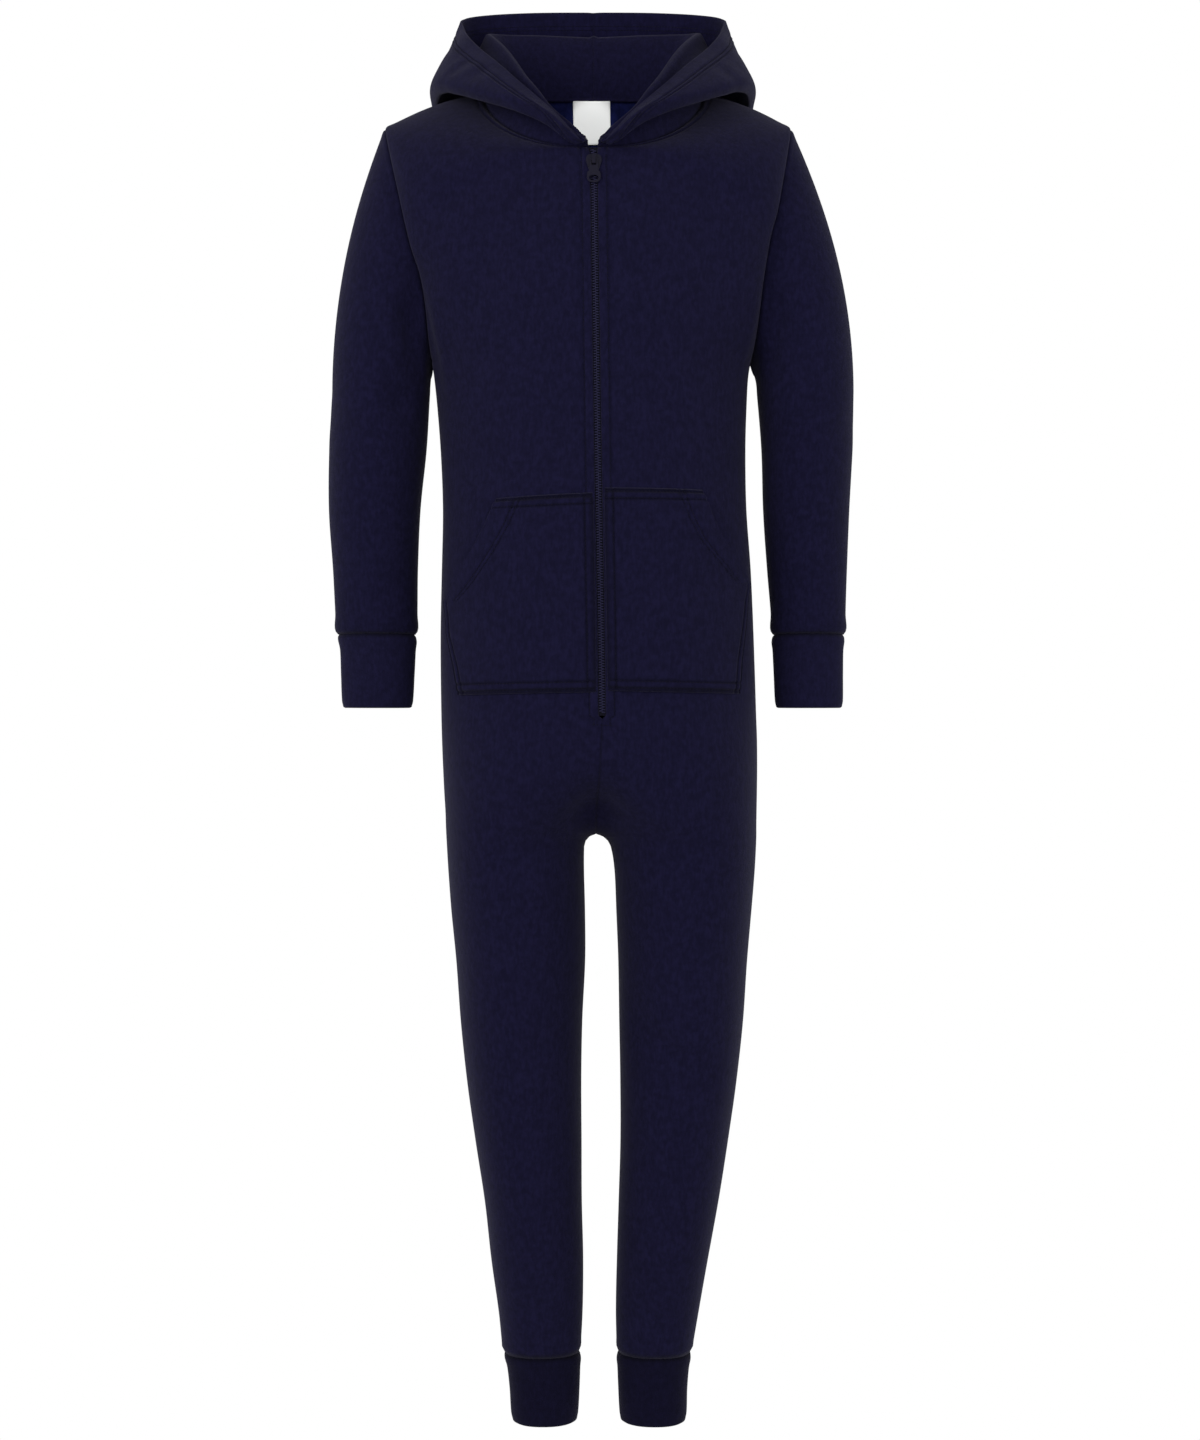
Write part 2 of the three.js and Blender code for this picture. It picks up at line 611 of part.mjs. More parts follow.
function pressFolds(pieces) {
  const normalAt = sharedNormals(pieces);
  const sunk = (point) => {
    const depth = FOLDS.reduce(
      (sum, fold) => sum + fold.depth * Math.exp(-((distanceToFold(point, fold) / fold.width) ** 2)),
      0,
    );
    return point.clone().addScaledVector(normalAt(point), -depth);
  };
  return pieces.map((piece) => ({ ...piece, rows: piece.rows.map((row) => row.map(sunk)) }));
}

// Moves an edge point away from its seam, square to the seam and within the cloth.
function backFromSeam(point, inward, along, trim) {
  const direction = inward.clone().sub(point);
  const seam = along.clone().normalize();
  direction.addScaledVector(seam, -direction.dot(seam)).normalize();
  return direction.multiplyScalar(trim);
}

function trimmed(rows, tube, trim) {
  const last = rows.length - 1;
  const end = rows[0].length - 1;
  return rows.map((row, r) => row.map((point, c) => {
    const moved = point.clone();
    const left = tube ? rows[r][(c + end) % (end + 1)] : rows[r][Math.max(c - 1, 0)];
    const right = tube ? rows[r][(c + 1) % (end + 1)] : rows[r][Math.min(c + 1, end)];
    const upper = rows[Math.max(r - 1, 0)][c];
    const lower = rows[Math.min(r + 1, last)][c];
    const across = right.clone().sub(left);
    const down = lower.clone().sub(upper);
    if (r === 0) moved.add(backFromSeam(point, rows[1][c], across, SEAM_GAP / 2));
    if (r === last) moved.add(backFromSeam(point, rows[last - 1][c], across, SEAM_GAP / 2));
    if (!tube && c === 0) moved.add(backFromSeam(point, row[1], down, trim));
    if (!tube && c === end) moved.add(backFromSeam(point, row[end - 1], down, trim));
    return moved;
  }));
}

// A closed wall between two grids of the same size, its edges joined by rims.
function addWall(name, outer, inner, outward, tube, material) {
  const columns = outer[0].length;
  const last = outer.length - 1;
  const half = outer.length * columns;
  const positions = [...outer.flat(), ...inner.flat()].flatMap((p) => [p.x, p.y, p.z]);
  const faces = [];
  const quad = (a, b, c, d) => faces.push([a, b, c], [a, c, d]);
  const out = (r, c) => r * columns + (c % columns);
  for (let c = 0; c < (tube ? columns : columns - 1); c += 1) {
    for (let r = 0; r < last; r += 1) {
      const [a, b, d, e] = [out(r, c), out(r, c + 1), out(r + 1, c + 1), out(r + 1, c)];
      faces.push([a, b, d], [a, d, e], [half + a, half + d, half + b], [half + a, half + e, half + d]);
    }
    quad(out(0, c + 1), out(0, c), half + out(0, c), half + out(0, c + 1));
    quad(out(last, c), out(last, c + 1), half + out(last, c + 1), half + out(last, c));
  }
  for (let r = 0; r < last && !tube; r += 1) {
    const end = columns - 1;
    quad(out(r, 0), out(r + 1, 0), half + out(r + 1, 0), half + out(r, 0));
    quad(out(r + 1, end), out(r, end), half + out(r, end), half + out(r + 1, end));
  }
  const geometry = new THREE.BufferGeometry();
  geometry.setAttribute('position', new THREE.Float32BufferAttribute(positions, 3));
  geometry.setIndex(faces.flatMap((face) => (outward > 0 ? face : [face[0], face[2], face[1]])));
  geometry.computeVertexNormals();
  const mesh = new THREE.Mesh(geometry, material);
  mesh.name = name;
  garment.add(mesh);
}

// Gives every piece of cloth its wall and keeps the walls' points for what is sewn on them.
const walls = {};

function buildCloth() {
  const pieces = pressFolds(cloth);
  const normalAt = sharedNormals(pieces);
  for (const { name, rows, outward, wall, tube, trim } of pieces) {
    const outer = trimmed(rows, tube, trim);
    const inner = outer.map((row, r) => row.map(
      (point, c) => point.clone().addScaledVector(normalAt(rows[r][c]), -wall),
    ));
    walls[name] = { outer, inner };
    addWall(name, outer, inner, outward, tube, fleece);
  }
}

// The smooth front of the body at a place seen from the front.
function frontPoint(x, z) {
  const side = x < centreX(z) ? 'left' : 'right';
  const outer = Math.abs(atHeight(BODY, `${side}Out`, z) - centreX(z));
  const share = Math.hypot(x - centreX(z), CROTCH_FILLET) / Math.hypot(outer, CROTCH_FILLET);
  const fall = (1 - Math.min(share, 1) ** BODY_ROUNDNESS) ** (1 / BODY_ROUNDNESS);
  return V(x, -atHeight(BODY, 'front', z) * fall, z);
}

// Each pocket half lies on its front panel, and gapes a little along its slanted opening.
function buildPockets() {
  for (const side of ['left', 'right']) {
    const { innerTop, innerBottom, edge } = POCKET[side];
    const lastRow = edge.length - 1;
    const rows = edge.map((corner, r) => {
      const z = innerTop + ((innerBottom - innerTop) * r) / lastRow;
      const innerX = centreX(z) + (side === 'left' ? -POCKET_CENTRE_GAP : POCKET_CENTRE_GAP);
      const row = [];
      for (let c = 0; c <= POCKET_COLUMNS; c += 1) {
        const part = c / POCKET_COLUMNS;
        row.push(frontPoint(innerX + (corner.x - innerX) * part, z + (corner.z - z) * part));
      }
      return row;
    });
    const outward = side === 'left' ? 1 : -1;
    const normalAt = sharedNormals([{ rows, outward, tube: false }]);
    const raised = (extra) => rows.map((row, r) => row.map((point, c) => {
      const opening = Math.max(Math.sin((POCKET_GAPE_WAVES * 2 * Math.PI * r) / lastRow), 0);
      const gape = POCKET_GAPE * opening * (c / POCKET_COLUMNS) ** 2;
      return point.clone().addScaledVector(normalAt(point), POCKET_LIFT + gape + extra);
    }));
    addWall(`pocket_${side}`, raised(WALL), raised(0), outward, false, fleece);
  }
}

// The zip follows the edges of the front panels: its tapes behind them, its chain between them.
function buildZip() {
  const firstRow = NECK_STEPS;
  const lastRow = ARMHOLE_STEPS + BODY.findIndex((row) => row.z === ZIP_BOTTOM_Z);
  const moved = (point, x, y) => V(point.x + x, point.y + y, point.z);
  for (const side of ['left', 'right']) {
    const sign = side === 'left' ? -1 : 1;
    const panel = walls[`front_${side}`].inner;
    const front = [];
    for (let r = firstRow; r <= lastRow; r += 1) {
      const edge = panel[r][0];
      const across = panel[r][1].clone().sub(edge);
      const far = edge.clone().addScaledVector(across, (TAPE_WIDTH - ZIP_HALF) / Math.abs(across.x));
      const middle = moved(edge, -sign * (ZIP_HALF - TAPE_CENTRE_GAP), LIFT);
      front.push([middle, moved(edge, 0, LIFT), moved(far, 0, LIFT)]);
    }
    const back = front.map((row) => row.map((point) => moved(point, 0, TAPE_THICK)));
    addWall(`zip_tape_${side}`, front, back, side === 'left' ? 1 : -1, false, zipCloth);
  }
  const left = walls.front_left;
  const right = walls.front_right;
  const chain = (depth) => {
    const rows = [];
    for (let r = firstRow; r <= lastRow; r += 1) {
      const middle = left.outer[r][0].clone().lerp(right.outer[r][0], 0.5);
      rows.push([moved(middle, CHAIN_WIDTH / 2, depth), moved(middle, -CHAIN_WIDTH / 2, depth)]);
    }
    return rows;
  };
  addWall('zip_chain', chain(CHAIN_SINK), chain(CHAIN_SINK + CHAIN_THICK), 1, false, zipCloth);
}

// Joins closed geometries into one with boolean unions.
function joined(geometries) {
  const solids = geometries.map((geometry) => {
    const bare = geometry.clone();
    bare.deleteAttribute('normal');
    bare.deleteAttribute('uv');
    const merged = mergeVertices(bare, 1e-5);
    return new wasm.Manifold(new wasm.Mesh({
      numProp: 3,
      vertProperties: new Float32Array(merged.attributes.position.array),
      triVerts: new Uint32Array(merged.index.array),
    }));
  });
  const mesh = solids.reduce((sum, solid) => sum.add(solid)).getMesh();
  const geometry = new THREE.BufferGeometry();
  geometry.setAttribute('position', new THREE.Float32BufferAttribute(mesh.vertProperties, 3));
  geometry.setIndex([...mesh.triVerts]);
  geometry.computeVertexNormals();
  return geometry;
}

// A flat plate drawn in x and z, with its back face at a distance in front of the cloth.
function plate(shape, back, thick) {
  const geometry = new THREE.ExtrudeGeometry(shape, { depth: thick, bevelEnabled: false, curveSegments: 6 });
  return geometry.rotateX(Math.PI / 2).translate(0, -back, 0);
}

function rectangle(path, left, right, bottom, top) {
  path.moveTo(left, bottom);
  path.lineTo(right, bottom);
  path.lineTo(right, top);
  path.lineTo(left, top);
  path.closePath();
  return path;
}

// The slider's face is broad at the top and narrow below; its web reaches in to the chain.
function sliderGeometry() {
  const { width, height, thick, standOff } = SLIDER;
  const foot = SLIDER.footShare * width;
  const crown = SLIDER.crownShare * width;
  const cheek = SLIDER.cheekShare * height;
  const webEnd = SLIDER.webShare * height;
  const face = new THREE.Shape();
  face.moveTo(-foot, -height / 2);
  face.lineTo(foot, -height / 2);
  face.lineTo(width / 2, cheek);
  face.quadraticCurveTo(width / 2, height / 2, crown, height / 2);
  face.lineTo(-crown, height / 2);
  face.quadraticCurveTo(-width / 2, height / 2, -width / 2, cheek);
  face.closePath();
  const web = rectangle(new THREE.Shape(), -SLIDER.web, SLIDER.web, -webEnd, webEnd);
  const bridge = rectangle(new THREE.Shape(), -BAIL.reach, BAIL.reach, -BAIL.sunk, BAIL.rise);
  const under = rectangle(new THREE.Path(), -BAIL.hole, BAIL.hole, 0, BAIL.rise - BAIL.bar);
  bridge.holes.push(under);
  const arch = new THREE.ExtrudeGeometry(bridge, { depth: BAIL.width, bevelEnabled: false });
  arch.rotateZ(Math.PI / 2).rotateX(Math.PI / 2).rotateZ(Math.PI / 2);
  arch.computeBoundingBox();
  const centre = arch.boundingBox.getCenter(V(0, 0, 0));
  const outerFace = standOff + thick + BAIL.rise;
  arch.translate(-centre.x, -outerFace - arch.boundingBox.min.y, -centre.z);
  const webPlate = plate(web, -SLIDER.webDepth, standOff + SLIDER.webDepth + SLIDER.webOverlap);
  const body = joined([plate(face, standOff, thick), webPlate]).translate(0, 0, -SLIDER.drop);
  return joined([body, arch]);
}

// The pull: a frame round the slider's bail, a short neck and a flat ring.
function pullGeometry() {
  const { frame, bar, frameLength, neck, ring, hole, length } = PULL;
  const outline = new THREE.Shape();
  const half = ring.width / 2;
  const ringTop = -length + ring.height;
  const neckEnd = ringTop + ring.slope;
  const shoulder = ringTop + ring.shoulder;
  const waist = ringTop - ring.waistShare * ring.height;
  const neckTop = -frameLength - PULL.neckSlope;
  outline.moveTo(-frame, bar / 2);
  outline.lineTo(-frame, -frameLength);
  outline.lineTo(-neck, neckTop);
  outline.lineTo(-neck, neckEnd);
  outline.quadraticCurveTo(-half, shoulder, -half, waist);
  outline.quadraticCurveTo(-half, -length, 0, -length);
  outline.quadraticCurveTo(half, -length, half, waist);
  outline.quadraticCurveTo(half, shoulder, neck, neckEnd);
  outline.lineTo(neck, neckTop);
  outline.lineTo(frame, -frameLength);
  outline.lineTo(frame, bar / 2);
  outline.closePath();
  const slotEnd = BAIL.width / 2 + PULL.clear;
  const slotBottom = -frameLength + PULL.frameBar;
  outline.holes.push(rectangle(new THREE.Path(), -slotEnd, slotEnd, slotBottom, -bar / 2));
  const eye = new THREE.Path();
  const eyeZ = -length + ring.height / 2 - hole.drop;
  eye.absellipse(0, eyeZ, hole.width / 2, hole.height / 2, 0, 2 * Math.PI, true);
  outline.holes.push(eye);
  return plate(outline, PULL_AXIS - PULL.thick / 2, PULL.thick);
}

// The slider sits at the top of the zip, leaning with the cloth, and its pull hangs from it.
function buildSlider() {
  const top = walls.front_left.outer[NECK_STEPS][0];
  const next = walls.front_left.outer[NECK_STEPS + 1][0];
  const part = (SLIDER.z - top.z) / (next.z - top.z);
  const hung = new THREE.Group();
  hung.position.set(centreX(SLIDER.z), top.y + (next.y - top.y) * part, SLIDER.z);
  hung.rotation.x = -Math.atan2(top.y - next.y, top.z - next.z);
  const slider = new THREE.Mesh(sliderGeometry(), zipMetal);
  slider.name = 'zip_slider';
  const pull = new THREE.Mesh(pullGeometry(), zipMetal);
  pull.name = 'zip_pull';
  hung.add(slider, pull);
  garment.add(hung);
}

// The bare label hangs inside the back neck, just in front of the back panels.
function buildLabel() {
  const upper = walls.back_left.inner[NECK_STEPS][0];
  const lower = walls.back_left.inner[NECK_STEPS + 1][0];
  const face = (gap) => [LABEL.top, (LABEL.top + LABEL.bottom) / 2, LABEL.bottom].map((z) => {
    const y = upper.y + ((lower.y - upper.y) * (z - upper.z)) / (lower.z - upper.z) - gap;
    return [-0.5, 0, 0.5].map((part) => V(LABEL.x + part * LABEL.width, y, z));
  });
  addWall('neck_label', face(LABEL.lift + LABEL.thick), face(LABEL.lift), -1, false, satin);
}

buildPanels();
buildSleeves();
buildAnkleCuffs();
buildHood();
buildCloth();
buildPockets();
buildZip();
buildSlider();
buildLabel();

export default garment;
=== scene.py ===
"""A child's hooded zip-front onesie pajama, filled out with nobody in it.

Lengths in the tables are in millimetres, +Z up and the front facing -Y. The origin is at the middle of
the neck. Left and right are as seen from the front.
"""
import math

import bpy
import numpy as np
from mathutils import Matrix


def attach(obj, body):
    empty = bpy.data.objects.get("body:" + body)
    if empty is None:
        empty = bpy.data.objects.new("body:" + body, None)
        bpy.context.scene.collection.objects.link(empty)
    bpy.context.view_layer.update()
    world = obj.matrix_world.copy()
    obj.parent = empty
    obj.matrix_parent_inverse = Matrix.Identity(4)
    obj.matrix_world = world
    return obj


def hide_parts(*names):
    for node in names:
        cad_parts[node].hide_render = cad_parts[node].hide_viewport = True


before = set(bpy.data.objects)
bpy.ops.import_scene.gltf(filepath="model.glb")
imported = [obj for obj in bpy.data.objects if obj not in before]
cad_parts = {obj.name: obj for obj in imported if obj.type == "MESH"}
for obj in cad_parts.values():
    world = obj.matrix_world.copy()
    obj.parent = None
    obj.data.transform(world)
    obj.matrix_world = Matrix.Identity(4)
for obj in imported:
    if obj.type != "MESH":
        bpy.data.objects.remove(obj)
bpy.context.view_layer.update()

MM = 0.001
SIDES = ("left", "right")
FACINGS = ("front", "back")
GARMENT = "garment"


def table(names, rows):
    """A small table with named columns, kept as one array for each column."""
    return dict(zip(names.split(), np.array(rows, float).T))


# Cloth
WALL = 2.0
CUFF_WALL = 2.6

# Neckline and shoulders
NECK_X = -4
NECK_HALF = 94
NECK_POINT = np.array([12, 18])
NECK_MIDDLE = {"front": np.array([-80, -50]), "back": np.array([62, 23])}
NECK_STEPS = 6
SHOULDER_TIP = np.array([10, -14])
SHOULDER_CROWN = 4.5
UNDERARM_Z = -215
ARMHOLE_STEPS = 12
ARMHOLE_HALF_DEPTH = 46
ARMHOLE = {"left": (-140, -182, 1.2), "right": (129.5, 165, 1.1)}

# Centre line of the front, where the zip leans a little to the right on its way down
ZIP_HALF = 3.8
ZIP_TOP_Z = -50
ZIP_BOTTOM_Z = -515
CENTRE = table("z x", [(30, -4), (-50, -3.5), (-300, 0), (-515, 3.4), (-560, 1.5), (-615, -1.7), (-680, 1), (-1120, 1)])
CENTRE_LINE = {
    "front": table("z y", [(-50, -80), (-90, -86), (-140, -91), (-190, -94), (-225, -95)]),
    "back": table("z y", [(23, 62), (-20, 76), (-80, 87), (-150, 91), (-225, 92)]),
}

# Body, legs and ankle cuffs: edges seen from the front, and how far front and back stand from y = 0
NOTCH_Z = -500
CROTCH_Z = -615
CROTCH_FILLET = 14
CROTCH_ARCH = 10.5
ROUNDNESS = 2.3
LEG_END_Z = -1054
ANKLE_HEM_Z = -1111
BODY = table("z left_out left_in right_in right_out front back", [
    (-215, -140, 0, 0, 129.5, 94.8, 92),
    (-225, -138.5, 0, 0, 127.5, 95, 92),
    (-250, -136.2, 0, 0, 126.2, 95.5, 92),
    (-290, -133.5, 0, 0, 125, 96, 92),
    (-340, -131.8, 0, 0, 125.6, 97, 93),
    (-391, -132.6, 0, 0, 129.2, 98, 95),
    (-442, -133.5, 0, 0, 131.8, 98, 98),
    (-485, -133.5, 0, 0, 133.5, 97, 99),
    (-515, -133.2, 0, 0, 134.4, 96, 99),
    (-535, -132.8, 0, 0, 135, 95, 98),
    (-558, -132, 0, 0, 135, 93, 97),
    (-580, -131, 0, 0, 134.6, 90, 94),
    (-597, -130, 0, 0, 134.2, 87, 91),
    (-608, -129.7, -12, 8.5, 134, 85, 89),
    (-615, -129.4, -12, 9, 134, 83.5, 87.5),
    (-622, -129, -12, 10.3, 133.8, 82, 86),
    (-633, -128.4, -12.2, 12.6, 133.3, 80, 84),
    (-650, -127.3, -12.2, 14.6, 132.3, 78, 82),
    (-680, -125, -11.6, 16, 130, 75, 79),
    (-722, -120.7, -11.4, 17.8, 126.7, 72, 75),
    (-773, -116.5, -13.6, 18.7, 123.3, 68, 70),
    (-824, -110.5, -14.5, 19.6, 117.3, 64, 66),
    (-875, -102.9, -14.5, 19.6, 109.7, 59, 62),
    (-926, -95.2, -14.5, 17.9, 102, 54, 58),
    (-977, -90.1, -13.2, 16.2, 93.5, 48, 51),
    (-1020, -84.4, -13.4, 15.3, 86.2, 40, 42),
    (-1054, -80.8, -14.8, 16, 80.2, 33, 33),
    (-1064, -78, -14.8, 16.3, 78.4, 31.5, 31.5),
    (-1085, -75.4, -15.3, 17, 76.4, 31, 31),
    (-1105, -74, -16.2, 17.9, 75.7, 30.5, 30.5),
    (-1111, -72.6, -17.2, 18.8, 74.6, 29.5, 29.5),
])

# Sleeves and wrist cuffs: level rings from below the underarm to the hem
FAN_LIFT = 0.47
SLEEVE_TOP_Z = -240
SLEEVE_END_Z = -446
WRIST_HEM_Z = -507.5
SLEEVE = table("z left_out left_in right_in right_out depth", [
    (-240, -225.5, -143, 134.6, 217, 47),
    (-289, -227.8, -145.4, 138.6, 216, 44),
    (-340, -227.8, -150.5, 140.3, 213.4, 39),
    (-391, -224.4, -153, 143.7, 211.7, 33),
    (-428, -222.9, -153.5, 146.6, 210.9, 28),
    (-446, -222, -154, 147.2, 210.6, 24),
    (-455, -219.6, -154.6, 147.7, 209.4, 21.5),
    (-480, -218.9, -155.6, 148.8, 209.1, 21),
    (-502, -218.3, -156.6, 149.8, 209, 20.5),
    (-507.5, -217.2, -157.8, 150.9, 208, 19.5),
])

# Hood, lying down: a row for each station from the zip round to the centre back
ROLL_RADIUS = 4.5
BAG_RADIUS = 6
HOOD = table("roll_half roll_y roll_z bag_half bag_y bag_z edge_half edge_y edge_z", [
    (6.5, -82, -46, 7.5, -87, -47, 8.5, -90.5, -48.5),
    (16, -80, -35, 18, -93, -49, 15, -94, -42),
    (33, -72, -18, 41, -91, -33, 30, -92, -25),
    (45, -61, 1, 65, -82, -21, 46, -83, -9),
    (55, -46, 17, 86, -66, -11, 63, -67, 9),
    (63, -29, 33, 107, -44, 0, 80, -43, 29),
    (71, -8, 49, 125, -18, 10, 96, -15, 48),
    (78, 12, 61, 134, 8, 13, 107, 8, 64),
    (84, 32, 71, 136, 38, 8, 112, 34, 78),
    (87, 54, 79, 131, 70, -10, 114, 64, 94),
    (75, 71, 83, 109, 96, -48, 94, 94, 106),
    (42, 80, 85, 62, 110, -98, 52, 108, 112),
    (0, 85, 85, 0, 114, -124, 0, 114, 114),
])
HOOD_STATIONS = len(HOOD["roll_z"])

# Split kangaroo pocket: the outer outline of each half from its top corner to its bottom corner
POCKET_INNER = {"left": (-335, -495), "right": (-331, -494)}
POCKET_EDGE = {
    "left": table("x z", [
        (-82.5, -338), (-91, -360), (-101, -380), (-115, -405),
        (-126.5, -421), (-125, -447), (-119, -475), (-115.5, -497),
    ]),
    "right": table("x z", [
        (84.5, -331), (91, -352), (99, -370), (114, -391),
        (124.5, -406), (122, -440), (118.5, -470), (117, -496),
    ]),
}
POCKET_CENTRE_GAP = 5.2
POCKET_LIFT = 1.2
POCKET_GAPE = 2.4

# Folds of the whole form: soft troughs, each from one point to another, with a width and a depth
FOLDS = [
    ((-147, -42, -150), (-160, -44, -250), 20, 6),
    ((144, -42, -120), (158, -44, -215), 18, 3.5),
    ((-147, 46, -150), (-162, 44, -250), 20, 5),
    ((138, 46, -150), (152, 44, -250), 20, 5),
    ((-4, -60, -592), (-60, -84, -622), 22, 4),
    ((-2, -60, -592), (64, -84, -622), 22, 4),
    ((20, -60, -765), (75, -66, -815), 24, 4),
    ((-100, 60, -860), (-30, 66, -890), 26, 4),
    ((105, 60, -860), (35, 66, -890), 26, 4),
    ((-95, 90, -560), (-20, 92, -600), 26, 5),
    ((98, 90, -560), (22, 92, -600), 26, 5),
]

# Finer creases: start, middle, end, width and depth, a ridge where the depth is negative
CREASES = [
    # Front of the body and the crotch
    ((2, -70, -585), (-24, -84, -612), (-66, -80, -628), 8, 1.5),
    ((0, -66, -597), (-16, -80, -632), (-40, -76, -668), 7, 1.2),
    ((-2, -70, -583), (30, -85, -610), (72, -80, -624), 8, 1.4),
    ((0, -66, -598), (18, -80, -634), (36, -76, -680), 7, 1.2),
    ((-120, -40, -300), (-95, -70, -312), (-62, -88, -318), 13, 1.0),
    ((118, -40, -312), (96, -68, -320), (70, -86, -322), 12, 0.9),
    ((-70, -90, -96), (-92, -72, -150), (-112, -62, -196), 14, 1.0),
    ((74, -88, -90), (92, -72, -140), (108, -62, -192), 13, 0.9),
    ((-158, -42, -160), (-149, -42, -204), (-141, -34, -250), 9, 8.0),
    ((152, -44, -160), (144, -42, -200), (133, -34, -248), 8, 5.0),
    ((2, -84, -560), (0, -82, -592), (-2, -72, -650), 30, 4.0),
    # Legs, in front
    ((34, -62, -766), (54, -67, -788), (70, -64, -806), 5, 1.7),
    ((40, -62, -752), (62, -67, -776), (84, -62, -790), 8, -1.1),
    ((-30, -62, -782), (-52, -66, -796), (-78, -62, -802), 10, 0.9),
    ((-34, -58, -862), (-56, -61, -870), (-82, -54, -884), 11, 0.7),
    ((30, -56, -890), (52, -59, -900), (80, -50, -918), 11, 0.8),
    ((-28, -44, -1004), (-48, -44, -1012), (-70, -34, -1018), 9, 0.8),
    ((28, -44, -1010), (46, -42, -1020), (68, -32, -1030), 9, 0.9),
    # Sleeves and underarms
    ((-138, -34, -206), (-152, -40, -222), (-170, -42, -236), 8, 1.4),
    ((-143, -30, -226), (-158, -38, -246), (-176, -42, -262), 8, 1.1),
    ((130, -34, -204), (144, -40, -224), (160, -42, -242), 8, 1.2),
    ((148, -48, -84), (155, -47, -91), (162, -43, -101), 4, 0.9),
    ((-226, -6, -256), (-214, -32, -268), (-196, -43, -276), 10, 1.0),
    ((-227, 4, -300), (-210, 30, -296), (-186, 42, -286), 9, 1.3),
    ((-226, 8, -322), (-208, 28, -324), (-184, 38, -318), 9, 1.1),
    ((215, -4, -262), (204, -30, -274), (186, -42, -280), 10, 0.9),
    ((215, 6, -306), (198, 30, -300), (172, 41, -288), 9, 1.3),
    ((214, 8, -330), (198, 28, -330), (172, 37, -322), 9, 1.0),
    ((-157, -24, -404), (-176, -32, -412), (-204, -28, -414), 9, 0.8),
    ((150, -24, -398), (170, -32, -408), (198, -27, -408), 9, 0.8),
    # Back: shoulders, waist, seat and behind the knees
    ((-60, 84, -150), (-88, 74, -190), (-118, 54, -222), 14, 1.6),
    ((62, 84, -158), (88, 74, -196), (112, 54, -228), 14, 1.5),
    ((-112, 62, -330), (-70, 86, -346), (-22, 93, -352), 13, 1.6),
    ((110, 62, -352), (72, 86, -366), (30, 94, -370), 13, 1.5),
    ((-90, 80, -398), (-52, 92, -408), (-12, 97, -412), 12, 1.2),
    ((-6, 88, -560), (-34, 94, -586), (-76, 88, -606), 10, 2.0),
    ((4, 86, -566), (34, 94, -592), (80, 88, -608), 10, 1.9),
    ((-4, 74, -596), (-26, 84, -628), (-52, 82, -668), 9, 1.6),
    ((0, 74, -598), (24, 84, -634), (50, 82, -676), 9, 1.5),
    ((-20, 60, -838), (-54, 66, -846), (-92, 52, -834), 10, 1.9),
    ((-22, 58, -872), (-56, 62, -884), (-88, 48, -876), 9, 1.6),
    ((-24, 54, -912), (-52, 60, -918), (-80, 50, -924), 10, 1.1),
    ((26, 60, -842), (60, 66, -852), (98, 52, -838), 10, 1.8),
    ((28, 58, -880), (60, 62, -888), (92, 48, -884), 9, 1.5),
    ((26, 50, -930), (52, 56, -936), (78, 46, -944), 10, 1.0),
    # Hood
    ((-128, -16, 8), (-118, -24, 24), (-104, -28, 36), 6, 1.2),
    ((-112, -38, 2), (-98, -46, 16), (-84, -46, 24), 7, 0.9),
    ((118, -22, 6), (108, -30, 20), (96, -32, 32), 7, 0.9),
    ((-60, 108, -86), (-72, 106, -56), (-84, 100, -20), 10, 1.8),
    ((52, 110, -90), (66, 107, -60), (80, 101, -24), 10, 1.7),
    ((-14, 114, -104), (-12, 115, -72), (-20, 114, -34), 9, 1.2),
    ((-130, 40, 10), (-128, 44, 36), (-122, 46, 60), 9, 1.1),
    ((131, 46, 8), (128, 50, 32), (122, 50, 58), 9, 1.1),
]


def at_height(rows, name, z):
    """Reads a named column at heights z: cubic Hermite pieces between the rows, and each row's slope is the
    rise over its two neighbours."""
    heights = rows["z"]
    values = rows[name]
    last = len(heights) - 1
    z = np.clip(z, heights[last], heights[0])
    row = np.clip(np.searchsorted(-heights, -z, side="right") - 1, 0, last - 1)
    before = np.maximum(np.arange(last + 1) - 1, 0)
    after = np.minimum(np.arange(last + 1) + 1, last)
    slopes = (values[after] - values[before]) / (heights[after] - heights[before])
    span = heights[row + 1] - heights[row]
    t = (z - heights[row]) / span
    return (
        (2 * t**3 - 3 * t**2 + 1) * values[row]
        + (t**3 - 2 * t**2 + t) * slopes[row] * span
        + (3 * t**2 - 2 * t**3) * values[row + 1]
        + (t**3 - t**2) * slopes[row + 1] * span
    )


def centre_x(z):
    """Where the zip and the centre seam run, at heights z."""
    return at_height(CENTRE, "x", z)


def rounded(value):
    """Sine or cosine raised to 2 / ROUNDNESS with its sign kept, so that the two trace a superellipse."""
    return np.sign(value) * np.abs(value) ** (2 / ROUNDNESS)


def smooth(value):
    """A smooth step: 3 t squared less 2 t cubed, of a value held between 0 and 1."""
    t = np.clip(value, 0, 1)
    return t * t * (3 - 2 * t)


def stacked(x, y, z):
    """Points from three arrays of coordinates."""
    return np.stack(np.broadcast_arrays(x, y, z), axis=-1)


